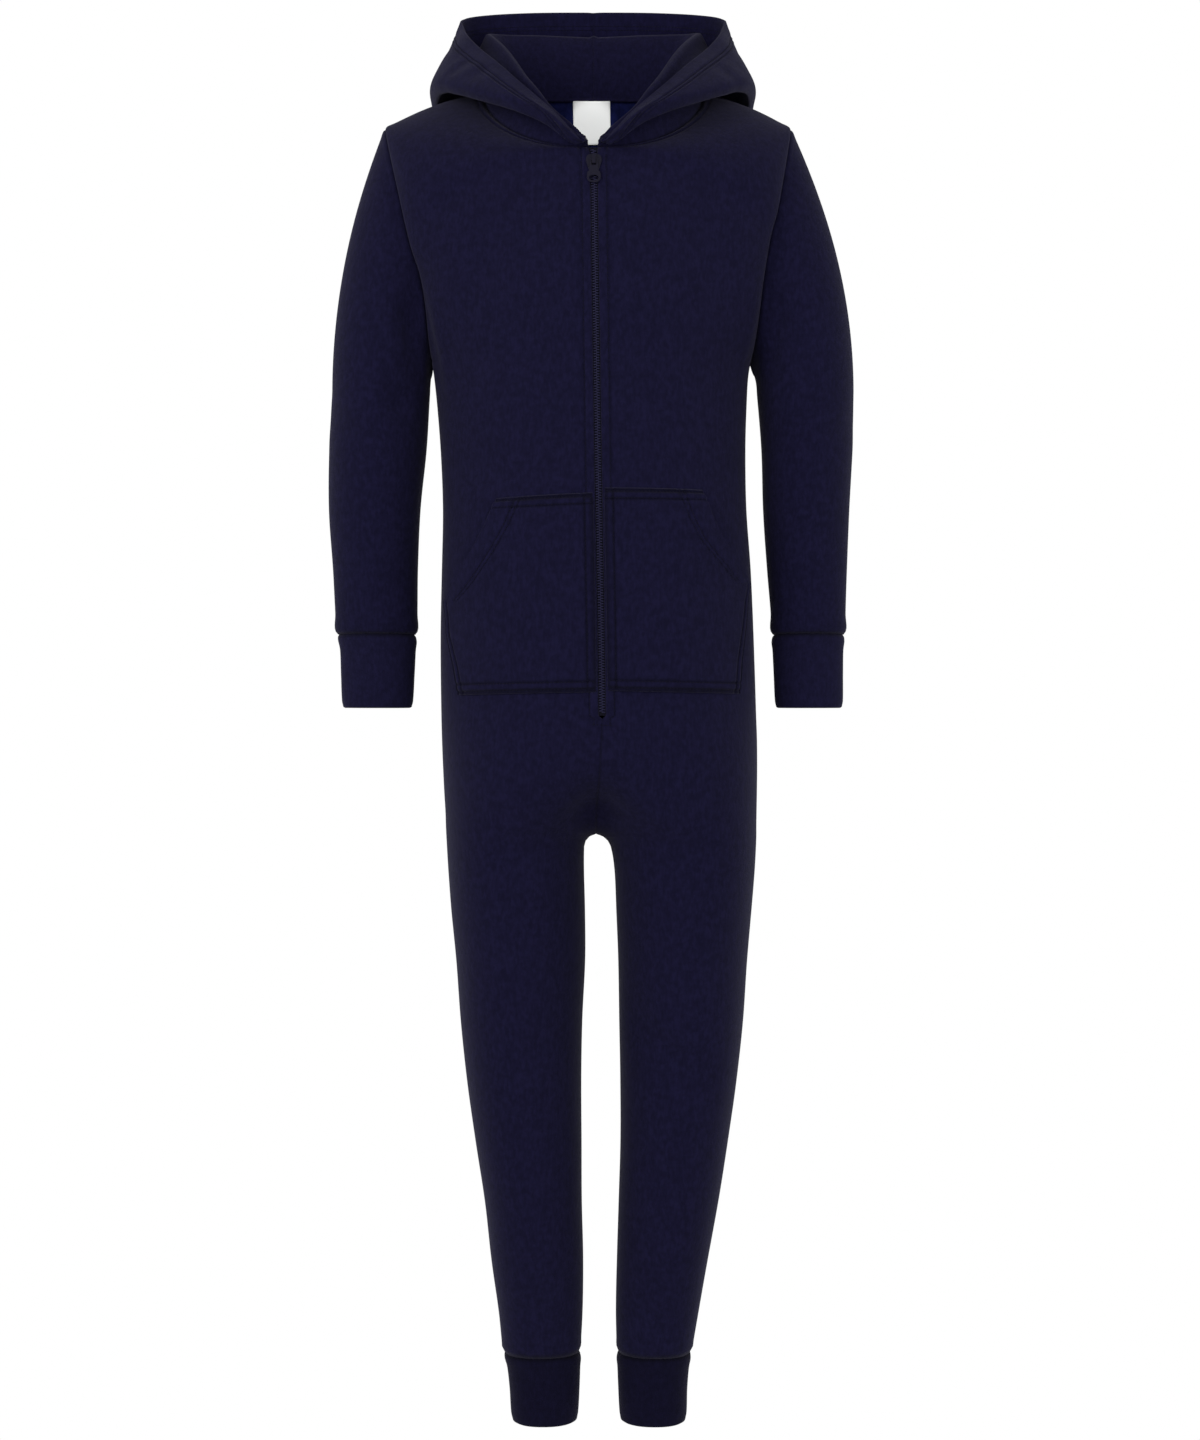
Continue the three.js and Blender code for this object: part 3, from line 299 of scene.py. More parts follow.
def along(path, share):
    """The points at shares of each path's own length, straight between the path's close samples."""
    steps = np.linalg.norm(np.diff(path, axis=-2), axis=-1)
    reach = np.concatenate([np.zeros(steps.shape[:-1] + (1,)), np.cumsum(steps, axis=-1)], axis=-1)
    goal = share * reach[..., -1]
    leg = np.clip((reach < goal[..., None]).sum(-1) - 1, 0, path.shape[-2] - 2)[..., None]
    low = np.take_along_axis(reach, leg, -1)[..., 0]
    high = np.take_along_axis(reach, leg + 1, -1)[..., 0]
    part = ((goal - low) / np.maximum(high - low, 1e-9))[..., None]
    start = np.take_along_axis(path, leg[..., None], -2)[..., 0, :]
    end = np.take_along_axis(path, leg[..., None] + 1, -2)[..., 0, :]
    return start + (end - start) * part


def crowded_ends(count):
    """Shares from 0 to 1 that lie closer together at both ends: u less 0.8 sin(2 pi u) / (2 pi)."""
    u = np.linspace(0, 1, count)
    return u - 0.8 * np.sin(2 * np.pi * u) / (2 * np.pi)


SECTION_SAMPLES = 140


def section(z, share, side, facing):
    """A quarter of the body, or half of a leg, at heights z and shares of the way round from the centre or
    the inseam to the side seam. It is a superellipse in y and in the root of x squared plus the crotch
    fillet squared, whose start moves past the centre between the notch and the crotch, so that the section
    pinches in and splits into two legs. The top of the gap between them is a quarter ellipse on each side."""
    centre = centre_x(z)
    outer = np.abs(at_height(BODY, side + "_out", z) - centre)
    opened = np.sqrt(1 - (1 - np.clip((CROTCH_Z - z) / CROTCH_ARCH, 0, 1)) ** 2)
    leg_inner = np.abs(at_height(BODY, side + "_in", z) - centre) * opened
    zip_half = ZIP_HALF * smooth((z - ZIP_BOTTOM_Z) / 2 + 1) if facing == "front" else 0 * z
    inner = np.where(z < CROTCH_Z, leg_inner, zip_half)
    reach = np.hypot(outer, CROTCH_FILLET)
    drop = np.clip((NOTCH_Z - z) / (NOTCH_Z - CROTCH_Z), 0, 1)
    notch = -reach * (1 - drop) / (1 + drop) + CROTCH_FILLET * drop**2
    start = np.where(z < CROTCH_Z, np.hypot(leg_inner, CROTCH_FILLET), notch)
    middle = (start + reach) / 2
    half = (reach - start) / 2
    first = np.maximum((np.hypot(inner, CROTCH_FILLET) - middle) / half, -1)
    first_angle = np.arcsin(np.sign(first) * np.abs(first) ** (ROUNDNESS / 2))[..., None]
    angle = first_angle + (np.pi / 2 - first_angle) * np.linspace(0, 1, SECTION_SAMPLES)
    stretched = middle[..., None] + half[..., None] * rounded(np.sin(angle))
    x = np.sqrt(np.maximum(stretched**2 - CROTCH_FILLET**2, 0))
    y = at_height(BODY, facing, z)[..., None] * rounded(np.maximum(np.cos(angle), 0))
    sideways = -1 if side == "left" else 1
    forward = -1 if facing == "front" else 1
    path = stacked(centre[..., None] + sideways * x, forward * y, z[..., None])
    return along(path, share)


def neck_point(step, side, facing):
    """A point of the neckline, a quarter ellipse from the high shoulder point at step 0 to the centre."""
    angle = np.pi / 2 * step / NECK_STEPS
    centre_half = ZIP_HALF if facing == "front" else 0
    half = centre_half + (NECK_HALF - centre_half) * np.maximum(np.cos(angle), 0)
    rise = np.sin(angle)
    middle = NECK_MIDDLE[facing]
    x = NECK_X + (-half if side == "left" else half)
    y = NECK_POINT[0] + (middle[0] - NECK_POINT[0]) * rise
    z = NECK_POINT[1] + (middle[1] - NECK_POINT[1]) * rise
    return stacked(x, y, z)


def armhole_point(step, side, facing):
    """A point of the armhole, an oval loop that leans out to the shoulder tip: step 0 is the tip."""
    underarm, tip, bend = ARMHOLE[side]
    angle = np.pi * step / ARMHOLE_STEPS
    height = np.clip((1 + np.cos(angle)) / 2, 0, 1)
    z = UNDERARM_Z + (SHOULDER_TIP[1] - UNDERARM_Z) * height
    bulge = ARMHOLE_HALF_DEPTH * np.maximum(np.sin(angle), 0)
    y = SHOULDER_TIP[0] * height + (-bulge if facing == "front" else bulge)
    return stacked(underarm + (tip - underarm) * height**bend, y, z)


def yoke(step, share, side, facing):
    """The body above the underarm: each row is a quarter superellipse from the neckline, or from the centre
    line below it, to the armhole, with a low crown on the shoulder."""
    outer = armhole_point(step, side, facing)
    part = (step - NECK_STEPS) / (ARMHOLE_STEPS - NECK_STEPS)
    line = CENTRE_LINE[facing]
    z = line["z"][0] + (line["z"][-1] + 10 - line["z"][0]) * np.maximum(part, 0)
    half = ZIP_HALF if facing == "front" else 0
    below = stacked(centre_x(z) + (-half if side == "left" else half), at_height(line, "y", z), z)
    inner = np.where(part[:, None] > 0, below, neck_point(np.minimum(step, NECK_STEPS), side, facing))
    angle = np.linspace(0, np.pi / 2, SECTION_SAMPLES)[None, :, None]
    across = rounded(np.sin(angle))
    lengthways = rounded(np.maximum(np.cos(angle), 0))
    crown = SHOULDER_CROWN * np.sin(np.pi * across) * (1 - step[:, None, None] / ARMHOLE_STEPS) ** 2
    fall = 1 + np.minimum(step / NECK_STEPS, 1)[:, None, None]
    inner, outer = inner[:, None, :], outer[:, None, :]
    x = inner[..., :1] + (outer[..., :1] - inner[..., :1]) * across
    y = outer[..., 1:2] + (inner[..., 1:2] - outer[..., 1:2]) * lengthways
    z = inner[..., 2:] + (outer[..., 2:] - inner[..., 2:]) * across**fall + crown
    path = np.concatenate([x, y, z], axis=-1)
    shape = (len(step), len(share)) + path.shape[1:]
    return along(np.broadcast_to(path[:, None], shape), np.broadcast_to(share, shape[:2]))


YOKE_ROWS = 61
BODY_ROWS = 176
BODY_COLUMNS = 64


def panel(side, facing):
    """A front or back panel from the shoulder to the ankle. Below the underarm its rows lie at equal shares
    of the length of the centre seam, crotch and inseam on one side and of the side seam on the other."""
    share = crowded_ends(BODY_COLUMNS)
    top = yoke(np.linspace(0, ARMHOLE_STEPS, YOKE_ROWS), share, side, facing)
    fine = np.linspace(BODY["z"][0], LEG_END_Z, 3000)
    heights = []
    for edge in (0.0, 1.0):
        line = section(fine, np.full_like(fine, edge), side, facing)
        reach = np.concatenate([[0], np.cumsum(np.linalg.norm(np.diff(line, axis=0), axis=1))])
        heights.append(np.interp(np.linspace(0, reach[-1], BODY_ROWS), reach, fine))
    inner, outer = heights
    if facing == "front":
        inner[np.abs(inner - ZIP_BOTTOM_Z).argmin()] = ZIP_BOTTOM_Z
    z = inner[:, None] + (outer - inner)[:, None] * smooth(share)
    bottom = section(z, np.broadcast_to(share, z.shape), side, facing)
    grid = np.concatenate([top, bottom[1:]])
    return relaxed(grid, YOKE_ROWS - 8, YOKE_ROWS + 8, 3)


def relaxed(grid, first, last, times):
    """Evens out rows first to last: each point moves to a quarter, a half and a quarter of its column."""
    grid = grid.copy()
    for _ in range(times):
        middle = grid[first:last]
        grid[first:last] = (grid[first - 1:last - 1] + 2 * middle + grid[first + 1:last + 1]) / 4
    return grid


SLEEVE_COLUMNS = 112


def sleeve_ring(z, side, columns=SLEEVE_COLUMNS):
    """Level rings of a sleeve or wrist cuff: ellipses from the inner side round the front to the back."""
    angle = 2 * np.pi * np.arange(columns) / columns
    inner = at_height(SLEEVE, side + "_in", z)[:, None]
    outer = at_height(SLEEVE, side + "_out", z)[:, None]
    x = (inner + outer) / 2 + (inner - outer) / 2 * np.cos(angle)
    y = -at_height(SLEEVE, "depth", z)[:, None] * np.sin(angle)
    return stacked(x, y, z[:, None])


def sleeve(side):
    """A sleeve: quadratic Bezier curves fan from the armhole to its first level ring, and rings follow."""
    turn = 2 * ARMHOLE_STEPS * np.arange(SLEEVE_COLUMNS) / SLEEVE_COLUMNS
    step = np.abs(ARMHOLE_STEPS - turn)
    front = armhole_point(step, side, "front")
    back = armhole_point(step, side, "back")
    start = np.where(turn[:, None] <= ARMHOLE_STEPS, front, back)
    end = sleeve_ring(np.array([SLEEVE_TOP_Z]), side)[0]
    bend = end.copy()
    bend[:, 2] += FAN_LIFT * (start[:, 2] - end[:, 2])
    t = 2 * crowded_ends(191)[:95, None, None]
    fan = (1 - t) ** 2 * start + 2 * t * (1 - t) * bend + t**2 * end
    rings = sleeve_ring(np.linspace(SLEEVE_TOP_Z, SLEEVE_END_Z, 76), side)
    return np.concatenate([fan, rings])


def wrist_cuff(side):
    """A wrist cuff: level rings from the wrist seam to the hem."""
    z = SLEEVE_END_Z + (WRIST_HEM_Z - SLEEVE_END_Z) * crowded_ends(40)
    return sleeve_ring(z, side)


def ankle_cuff(side):
    """An ankle cuff: rings of the leg's own section, front half then back half, from the seam to the hem."""
    z = LEG_END_Z + (ANKLE_HEM_Z - LEG_END_Z) * crowded_ends(36)
    turn = np.linspace(0, 2, SLEEVE_COLUMNS, endpoint=False)
    share = np.broadcast_to(np.where(turn <= 1, turn, 2 - turn), (len(z), len(turn)))
    level = np.broadcast_to(z[:, None], share.shape)
    front = section(level, share, side, "front")
    back = section(level, share, side, "back")
    return np.where((turn <= 1)[None, :, None], front, back)


def curve_through(keys, samples):
    """A centripetal Catmull-Rom curve through key points: on each span three levels of straight blends,
    timed by the square roots of the distances between the keys."""
    points = np.concatenate([[2 * keys[0] - keys[1]], keys, [2 * keys[-1] - keys[-2]]])
    times = np.concatenate([[0], np.cumsum(np.linalg.norm(np.diff(points, axis=0), axis=1) ** 0.5)])
    path = []
    for i in range(1, len(points) - 2):
        (t0, t1, t2, t3), (a, b, c, d) = times[i - 1:i + 3], points[i - 1:i + 3]
        t = np.linspace(t1, t2, samples, endpoint=False)[:, None]
        ab = a + (b - a) * (t - t0) / (t1 - t0)
        bc = b + (c - b) * (t - t1) / (t2 - t1)
        cd = c + (d - c) * (t - t2) / (t3 - t2)
        abc = ab + (bc - ab) * (t - t0) / (t2 - t0)
        bcd = bc + (cd - bc) * (t - t1) / (t3 - t1)
        path.append(abc + (bcd - abc) * (t - t1) / (t2 - t1))
    return np.concatenate([*path, keys[-1:]])


HOOD_COLUMNS = 150
HOOD_ROWS = 132
HOOD_PARTS = (0, 0.32, 0.66, 1)
CURVE_STEP = 40


def hood_profile(station, side):
    """The hood's cloth at one station: from its neck seam up to the roll, down outside it to the bottom of
    the bag, and up again to the face edge. Each of these three parts has its own share of the columns."""
    sign = -1 if side == "left" else 1
    roll, bag, edge = (
        np.array([NECK_X + sign * HOOD[name + "_half"][station], HOOD[name + "_y"][station], HOOD[name + "_z"][station]])
        for name in ("roll", "bag", "edge")
    )
    facing = "front" if station <= NECK_STEPS else "back"
    neck = neck_point(np.array(abs(station - NECK_STEPS)), side, facing)
    away = (bag - roll) * np.array([1, 1, 0])
    away = away / np.linalg.norm(away)
    grown = min(station / 2, 1)
    roll_radius = ROLL_RADIUS * grown
    bag_radius = BAG_RADIUS * grown
    up = np.array([0, 0, 1])
    keys = [neck, (neck + roll) / 2]
    if grown > 0:
        fall = roll + away * 2 * roll_radius - up * 1.6 * roll_radius
        behind = bag - away * 1.5 * bag_radius + up * 2.2 * bag_radius
        ahead = bag + away * 0.7 * bag_radius + up * 1.4 * bag_radius
        keys += [roll - up * roll_radius, roll + away * roll_radius, fall]
        if fall[2] - bag[2] - 2.2 * bag_radius > 30:
            keys.append((fall + behind) / 2)
        bulge = (ahead + edge) / 2 + away * 5 * grown
        keys += [behind, bag - away * 0.4 * bag_radius, ahead, bulge, edge]
    else:
        keys += [roll, bag, edge]
    path = curve_through(np.array(keys), CURVE_STEP)
    reach = np.concatenate([[0], np.cumsum(np.linalg.norm(np.diff(path, axis=0), axis=1))])
    top, bottom = 2 * CURVE_STEP, 3 * CURVE_STEP
    if grown > 0:
        top = int(path[:5 * CURVE_STEP, 2].argmax())
        bottom = top + int(path[top:, 2].argmin())
    share = np.linspace(0, 1, HOOD_COLUMNS)
    goal = np.interp(share, HOOD_PARTS, (0, reach[top], reach[bottom], reach[-1]))
    return np.stack([np.interp(goal, reach, path[:, k]) for k in range(3)], axis=1)


def hood(side):
    """A hood half: profiles at the stations, joined by Catmull-Rom curves from station to station, with the
    neck seam held on the neckline. The centre back repeats its neighbour in mirror image."""
    stations = np.array([hood_profile(station, side) for station in range(HOOD_STATIONS)])
    mirrored = stations[-2] * np.array([-1, 1, 1]) + np.array([2 * NECK_X, 0, 0])
    padded = np.concatenate([[2 * stations[0] - stations[1]], stations, [mirrored]])
    place = np.linspace(0, HOOD_STATIONS - 1, HOOD_ROWS)
    index = np.minimum(place.astype(int), HOOD_STATIONS - 2)
    t = (place - index)[:, None, None]
    a, b, c, d = (padded[index + shift] for shift in range(4))
    grid = 0.5 * (2 * b + (c - a) * t + (2 * a - 5 * b + 4 * c - d) * t**2 + (3 * b - a - 3 * c + d) * t**3)
    facing_front = place <= NECK_STEPS
    front = neck_point(np.abs(place - NECK_STEPS), side, "front")
    back = neck_point(np.abs(place - NECK_STEPS), side, "back")
    seam = np.where(facing_front[:, None], front, back)
    fade = (1 - smooth(np.arange(HOOD_COLUMNS) / 14))[None, :, None]
    return grid + (seam - grid[:, 0])[:, None] * fade


def front_point(x, z, side):
    """The smooth front of the body at places seen from the front: the section's superellipse at x."""
    centre = centre_x(z)
    outer = np.abs(at_height(BODY, side + "_out", z) - centre)
    share = np.hypot(x - centre, CROTCH_FILLET) / np.hypot(outer, CROTCH_FILLET)
    fall = (1 - np.minimum(share, 1) ** ROUNDNESS) ** (1 / ROUNDNESS)
    return stacked(x, -at_height(BODY, "front", z) * fall, z)


POCKET_ROWS = 96
POCKET_COLUMNS = 80


def pocket(side):
    """Half the kangaroo pocket: straight rows from the zip side to the outer outline, laid on the front of
    the body, lifted off it, and gaping a little more towards the slanted opening."""
    outline = POCKET_EDGE[side]
    last = len(outline["x"]) - 1
    top, bottom = POCKET_INNER[side]
    rows = last * crowded_ends(POCKET_ROWS)
    corner_x = np.interp(rows, np.arange(last + 1), outline["x"])[:, None]
    corner_z = np.interp(rows, np.arange(last + 1), outline["z"])[:, None]
    inner_z = (top + (bottom - top) * rows / last)[:, None]
    gap = -POCKET_CENTRE_GAP if side == "left" else POCKET_CENTRE_GAP
    inner_x = centre_x(inner_z) + gap
    part = crowded_ends(POCKET_COLUMNS)[None]
    flat = front_point(inner_x + (corner_x - inner_x) * part, inner_z + (corner_z - inner_z) * part, side)
    opening = np.maximum(np.sin(1.6 * np.pi * rows / last), 0)[:, None]
    gape = POCKET_GAPE * opening * part**2
    lift = POCKET_LIFT + gape + WALL
    return flat + lift[..., None] * unit_normals(flat, False, outward(side, "front"))


def outward(side, facing):
    """The sign that turns a grid's normals to the outside of the garment."""
    return 1 if (side == "left") == (facing == "front") else -1


def unit_normals(grid, tube, sign):
    """Unit normals of a grid: the cross product of its central differences along columns and rows."""
    if tube:
        across = np.roll(grid, -1, axis=1) - np.roll(grid, 1, axis=1)
    else:
        across = np.gradient(grid, axis=1)
    normal = np.cross(across, np.gradient(grid, axis=0)) * sign
    return normal / np.maximum(np.linalg.norm(normal, axis=-1, keepdims=True), 1e-12)


def to_segment(points, start, end):
    """Distance of points from a straight piece, and how far along it they lie, from 0 to 1."""
    start, end = np.array(start, float), np.array(end, float)
    line = end - start
    t = np.clip((points - start) @ line / (line @ line), 0, 1)
    return np.linalg.norm(points - start - t[..., None] * line, axis=-1), t


def fold_depth(points):
    """How deep the folds press: the sum of depth times exp(-(distance / width) squared)."""
    depth = np.zeros(points.shape[:-1])
    for start, end, width, deep in FOLDS:
        distance, _ = to_segment(points, start, end)
        depth += deep * np.exp(-((distance / width) ** 2))
    return depth


def crease_depth(points):
    """How deep the fine creases press: a bell across each bent line, dying out towards its two ends."""
    depth = np.zeros(points.shape[:-1])
    for start, middle, end, width, deep in CREASES:
        first, t_first = to_segment(points, start, middle)
        second, t_second = to_segment(points, middle, end)
        nearer = first < second
        distance = np.where(nearer, first, second)
        place = np.where(nearer, t_first, 1 + t_second) / 2
        fade = np.sin(np.pi * np.clip(place, 0, 1))
        beside = 0.3 * np.exp(-(((distance - 2.1 * width) / (0.9 * width)) ** 2))
        depth += deep * fade * (np.exp(-((distance / width) ** 2)) - beside)
    return depth


rng = np.random.default_rng(7)
WAVE_VECTORS = rng.normal(size=(9, 3)) * np.array([1.0, 0.7, 0.6]) / np.linspace(26, 60, 9)[:, None]
WAVE_PHASES = rng.uniform(0, 2 * np.pi, 9)
UNEVEN = 0.22


def unevenness(points):
    """A faint softness of hanging cloth: nine sine waves of different directions and lengths, added up."""
    return UNEVEN * np.sin(points @ WAVE_VECTORS.T + WAVE_PHASES).sum(-1)


def edge_distances(grid):
    """Distances along the cloth from the top, bottom, first and last edges of a grid."""
    down = np.linalg.norm(np.diff(grid, axis=0), axis=-1)
    across = np.linalg.norm(np.diff(grid, axis=1), axis=-1)
    top = np.concatenate([np.zeros((1, grid.shape[1])), np.cumsum(down, axis=0)])
    first = np.concatenate([np.zeros((grid.shape[0], 1)), np.cumsum(across, axis=1)], axis=1)
    return {"top": top, "bottom": top[-1:] - top, "first": first, "last": first[:, -1:] - first}


def bell(distance, middle, width):
    """A bell of height 1: exp(-((distance - middle) / width) squared)."""
    return np.exp(-(((distance - middle) / width) ** 2))


SEAM_DEPTH = 1.4
CENTRE_SEAM_DEPTH = 0.5
SEAM_WIDTH = 1.5
STITCH_DIP = 1.0
CUFF_STEP = 0.7


def perimeter(rows, columns, tube):
    """Closed loops of grid indices round the open edges, and for each the index of its inner neighbour."""
    index = np.arange(rows * columns).reshape(rows, columns)
    if tube:
        return [(index[0], index[1]), (index[-1][::-1], index[-2][::-1])]
    loop = np.concatenate([index[0, :-1], index[:-1, -1], index[-1, :0:-1], index[:0:-1, 0]])
    inner = np.concatenate([index[1, :-1], index[:-1, -2], index[-2, :0:-1], index[:0:-1, 1]])
    return [(loop, inner)]


def cloth_object(name, outer, inner, tube, sign, fabrics, bulge, painted_seam_shade=0.0):
    """A closed wall of cloth as one object: the outer grid, the inner grid, and between them a rim whose
    middle line swells out by bulge, so that an open edge is round. The second fabric is on the inside.
    The last argument, from 0 to 1, says how deep each outer point lies in a seam or a stitched line; it is kept on the
    points as painted shade, which darkens the knit colour there."""
    rows, columns = outer.shape[:2]
    count = rows * columns
    flat_outer = outer.reshape(-1, 3)
    flat_inner = inner.reshape(-1, 3)
    swell = np.broadcast_to(bulge, (rows, columns)).reshape(-1)
    wide = columns if tube else columns - 1
    r, c = np.meshgrid(np.arange(rows - 1), np.arange(wide), indexing="ij")
    r, c = r.ravel(), c.ravel()
    cells = np.stack([r * columns + c, r * columns + (c + 1) % columns,
                      (r + 1) * columns + (c + 1) % columns, (r + 1) * columns + c], axis=1)
    vertices = [flat_outer, flat_inner]
    faces = [cells, cells[:, ::-1] + count]
    base = 2 * count
    for loop, neighbour in perimeter(rows, columns, tube):
        away = flat_outer[loop] - flat_outer[neighbour]
        away = away / np.maximum(np.linalg.norm(away, axis=1, keepdims=True), 1e-9)
        vertices.append((flat_outer[loop] + flat_inner[loop]) / 2 + away * swell[loop][:, None])
        middle = base + np.arange(len(loop))
        following = np.roll(loop, -1)
        after = np.roll(middle, -1)
        faces.append(np.stack([following, loop, middle, after], axis=1))
        faces.append(np.stack([after, middle, loop + count, following + count], axis=1))
        base += len(loop)
    vertices = np.concatenate(vertices) * MM
    faces = np.concatenate(faces)
    faces = faces if sign > 0 else faces[:, ::-1]
    mesh = bpy.data.meshes.new(name)
    mesh.from_pydata(vertices, [], faces)
    slots = np.zeros(len(faces), np.int32)
    slots[len(cells):2 * len(cells)] = 1
    mesh.polygons.foreach_set("material_index", slots)
    set_cut_uv(mesh, outer, faces, cells, columns, count, sign, tube)
    # Painted shade: each outer point's share of seam darkness, kept as a point attribute for the knit colour
    painted_shade_values = np.zeros(len(vertices), np.float32)
    painted_shade_values[:count] = np.broadcast_to(painted_seam_shade, (rows, columns)).reshape(-1)
    mesh.attributes.new("painted_seam_shade", "FLOAT", "POINT").data.foreach_set("value", painted_shade_values)
    mesh.shade_smooth()
    for fabric in fabrics:
        mesh.materials.append(fabric)
    made = bpy.data.objects.new(name, mesh)
    bpy.context.collection.objects.link(made)
    return made


def set_cut_uv(mesh, outer, faces, cells, columns, count, sign, tube):
    """A UV map in metres of cloth: u is the distance along a row, v the distance down a column. Corners
    past the last column of a tube carry on from it instead of starting again."""
    distance = edge_distances(outer)
    mean_down = np.broadcast_to(distance["top"].mean(axis=1, keepdims=True), distance["first"].shape)
    uv = np.stack([distance["first"], -mean_down], axis=-1).reshape(-1, 2) * MM
    rims = len(mesh.vertices) - 2 * count
    loops = [loop for loop, _ in perimeter(outer.shape[0], columns, tube)]
    whole = np.concatenate([uv, uv, uv[np.concatenate(loops)]])
    corner = whole[faces.ravel()].reshape(len(faces), 4, 2)
    assert len(whole) == 2 * count + rims
    if tube:
        widest = corner[..., 0].max(axis=1)
        step = np.linalg.norm(outer[:, 0] - outer[:, -1], axis=-1).mean() * MM
        low = corner[..., 0] < widest[:, None] - 0.02
        corner[..., 0] = np.where(low, widest[:, None] + step, corner[..., 0])
    layer = mesh.uv_layers.new(name="cut")
    layer.data.foreach_set("uv", corner.ravel().astype(np.float32))


def thread_object(name, strands, fabric):
    """Stitches as one object. Each strand is a row of points and normals on the cloth; a stitch is a short
    six-sided thread between two points, thick in its middle and dipping into the cloth at its ends."""
    sides, rings = 6, 5
    t = np.linspace(0, 1, rings)
    turn = 2 * np.pi * np.arange(sides) / sides
    vertices, faces, base = [], [], 0
    ring = np.arange(rings - 1)[:, None] * sides
    side = np.arange(sides)[None]
    quad = np.stack([ring + side, ring + (side + 1) % sides,
                     ring + sides + (side + 1) % sides, ring + sides + side], axis=-1).reshape(-1, 4)
    for starts, ends, normals, radius in strands:
        axis = ends - starts
        length = np.linalg.norm(axis, axis=1, keepdims=True)
        axis = axis / length
        up = normals - axis * (normals * axis).sum(1, keepdims=True)
        up = up / np.linalg.norm(up, axis=1, keepdims=True)
        beside = np.cross(axis, up)
        middle = starts[:, None] + axis[:, None] * (length * t)[..., None]
        lift = radius * (0.9 * np.sin(np.pi * t) - 0.45)
        middle = middle + up[:, None] * lift[None, :, None]
        thick = radius * (0.55 + 0.45 * np.sin(np.pi * t))
        around = (np.cos(turn)[None, None, :, None] * up[:, None, None]
                  + np.sin(turn)[None, None, :, None] * beside[:, None, None])
        points = middle[:, :, None] + around * thick[None, :, None, None]
        count = len(points)
        vertices.append(points.reshape(-1, 3))
        faces.append((quad[None] + base + (np.arange(count) * sides * rings)[:, None, None]).reshape(-1, 4))
        base += count * sides * rings
    return plain_object(name, np.concatenate(vertices), np.concatenate(faces)[:, ::-1], fabric)


def plain_object(name, vertices, faces, material):
    """An object of its own from points in millimetres and faces."""
    mesh = bpy.data.meshes.new(name)
    mesh.from_pydata(vertices * MM, [], faces)
    mesh.shade_smooth()
    mesh.materials.append(material)
    made = bpy.data.objects.new(name, mesh)
    bpy.context.collection.objects.link(made)
    return made


STITCH_PITCH = 2.9
STITCH_LENGTH = 2.3
STITCH_RADIUS = 0.38


def inset(outer, normals, edge, distance, start=0.0, end=1.0):
    """The line on a grid that runs beside one of its edges at a distance along the cloth, between two
    shares of that edge: points and normals, read between the grid's own lines."""
    if edge in ("first", "last"):
        outer, normals = outer.transpose(1, 0, 2), normals.transpose(1, 0, 2)
    if edge in ("bottom", "last"):
        outer, normals = outer[::-1], normals[::-1]
    reach = edge_distances(outer)["top"]
    index = np.clip((reach < distance).sum(0) - 1, 0, len(outer) - 2)
    line = np.arange(outer.shape[1])
    low, high = reach[index, line], reach[index + 1, line]
    part = np.clip((distance - low) / np.maximum(high - low, 1e-9), 0, 1)[:, None]
    points = outer[index, line] * (1 - part) + outer[index + 1, line] * part
    facing = normals[index, line] * (1 - part) + normals[index + 1, line] * part
    first = int(round(start * (len(line) - 1)))
    last = int(round(end * (len(line) - 1))) + 1
    return points[first:last], facing[first:last]


def strand(points, normals, radius=STITCH_RADIUS, pitch=STITCH_PITCH, length=STITCH_LENGTH, skip=0.0):
    """Cuts a line on the cloth into stitches of even pitch: starts, ends, normals and radius."""
    reach = np.concatenate([[0], np.cumsum(np.linalg.norm(np.diff(points, axis=0), axis=1))])
    begin = np.arange(skip, reach[-1] - length - skip, pitch)

    def at(distance, values):
        return np.stack([np.interp(distance, reach, values[:, k]) for k in range(3)], axis=1)

    return at(begin, points), at(begin + length, points), at(begin + length / 2, normals), radius


SEAM_REACH = 34
SEAM_MEETS = 3.2


def share_seam_normals(pieces):
    """Gives pieces one normal where they are sewn together: each edge point takes the mean of its own
    normal and those of the nearest edge points of the other pieces, and the change fades inward."""
    edges = {}
    for name, piece in pieces.items():
        loops = [loop for loop, _ in perimeter(*piece["grid"].shape[:2], piece["tube"])]
        index = np.concatenate(loops)
        edges[name] = (index, piece["grid"].reshape(-1, 3)[index], piece["normals"].reshape(-1, 3)[index])
    for name, piece in pieces.items():
        index, points, own = edges[name]
        total = own.copy()
        for other, (_, far_points, far_normals) in edges.items():
            if other == name:
                continue
            gaps = np.linalg.norm(points[:, None] - far_points[None], axis=-1)
            nearest = gaps.argmin(axis=1)
            met = gaps[np.arange(len(points)), nearest] < SEAM_MEETS
            total += far_normals[nearest] * met[:, None]
        total /= np.linalg.norm(total, axis=1, keepdims=True)
        change = np.zeros(piece["grid"].shape).reshape(-1, 3)
        change[index] = total - own
        change = change.reshape(piece["grid"].shape)
        distance = edge_distances(piece["grid"])
        lines = {"top": change[:1], "bottom": change[-1:]}
        if not piece["tube"]:
            lines.update({"first": change[:, :1], "last": change[:, -1:]})
        weights = {edge: (1 - smooth(distance[edge] / SEAM_REACH))[..., None] for edge in lines}
        weight_sum = np.maximum(sum(weights.values()), 1)
        piece["shared"] = piece["normals"] + sum(weights[edge] * lines[edge] for edge in lines) / weight_sum
        piece["shared"] /= np.linalg.norm(piece["shared"], axis=-1, keepdims=True)


def sewn_relief(distance, edges):
    """The form of a seam beside the given edges: a groove on the seam line and a low ridge next to it,
    where the seam allowance lies underneath."""
    relief = 0
    for edge in edges:
        relief = relief + SEAM_DEPTH * bell(distance[edge], 0, SEAM_WIDTH) - 0.3 * bell(distance[edge], 5, 3)
    return relief


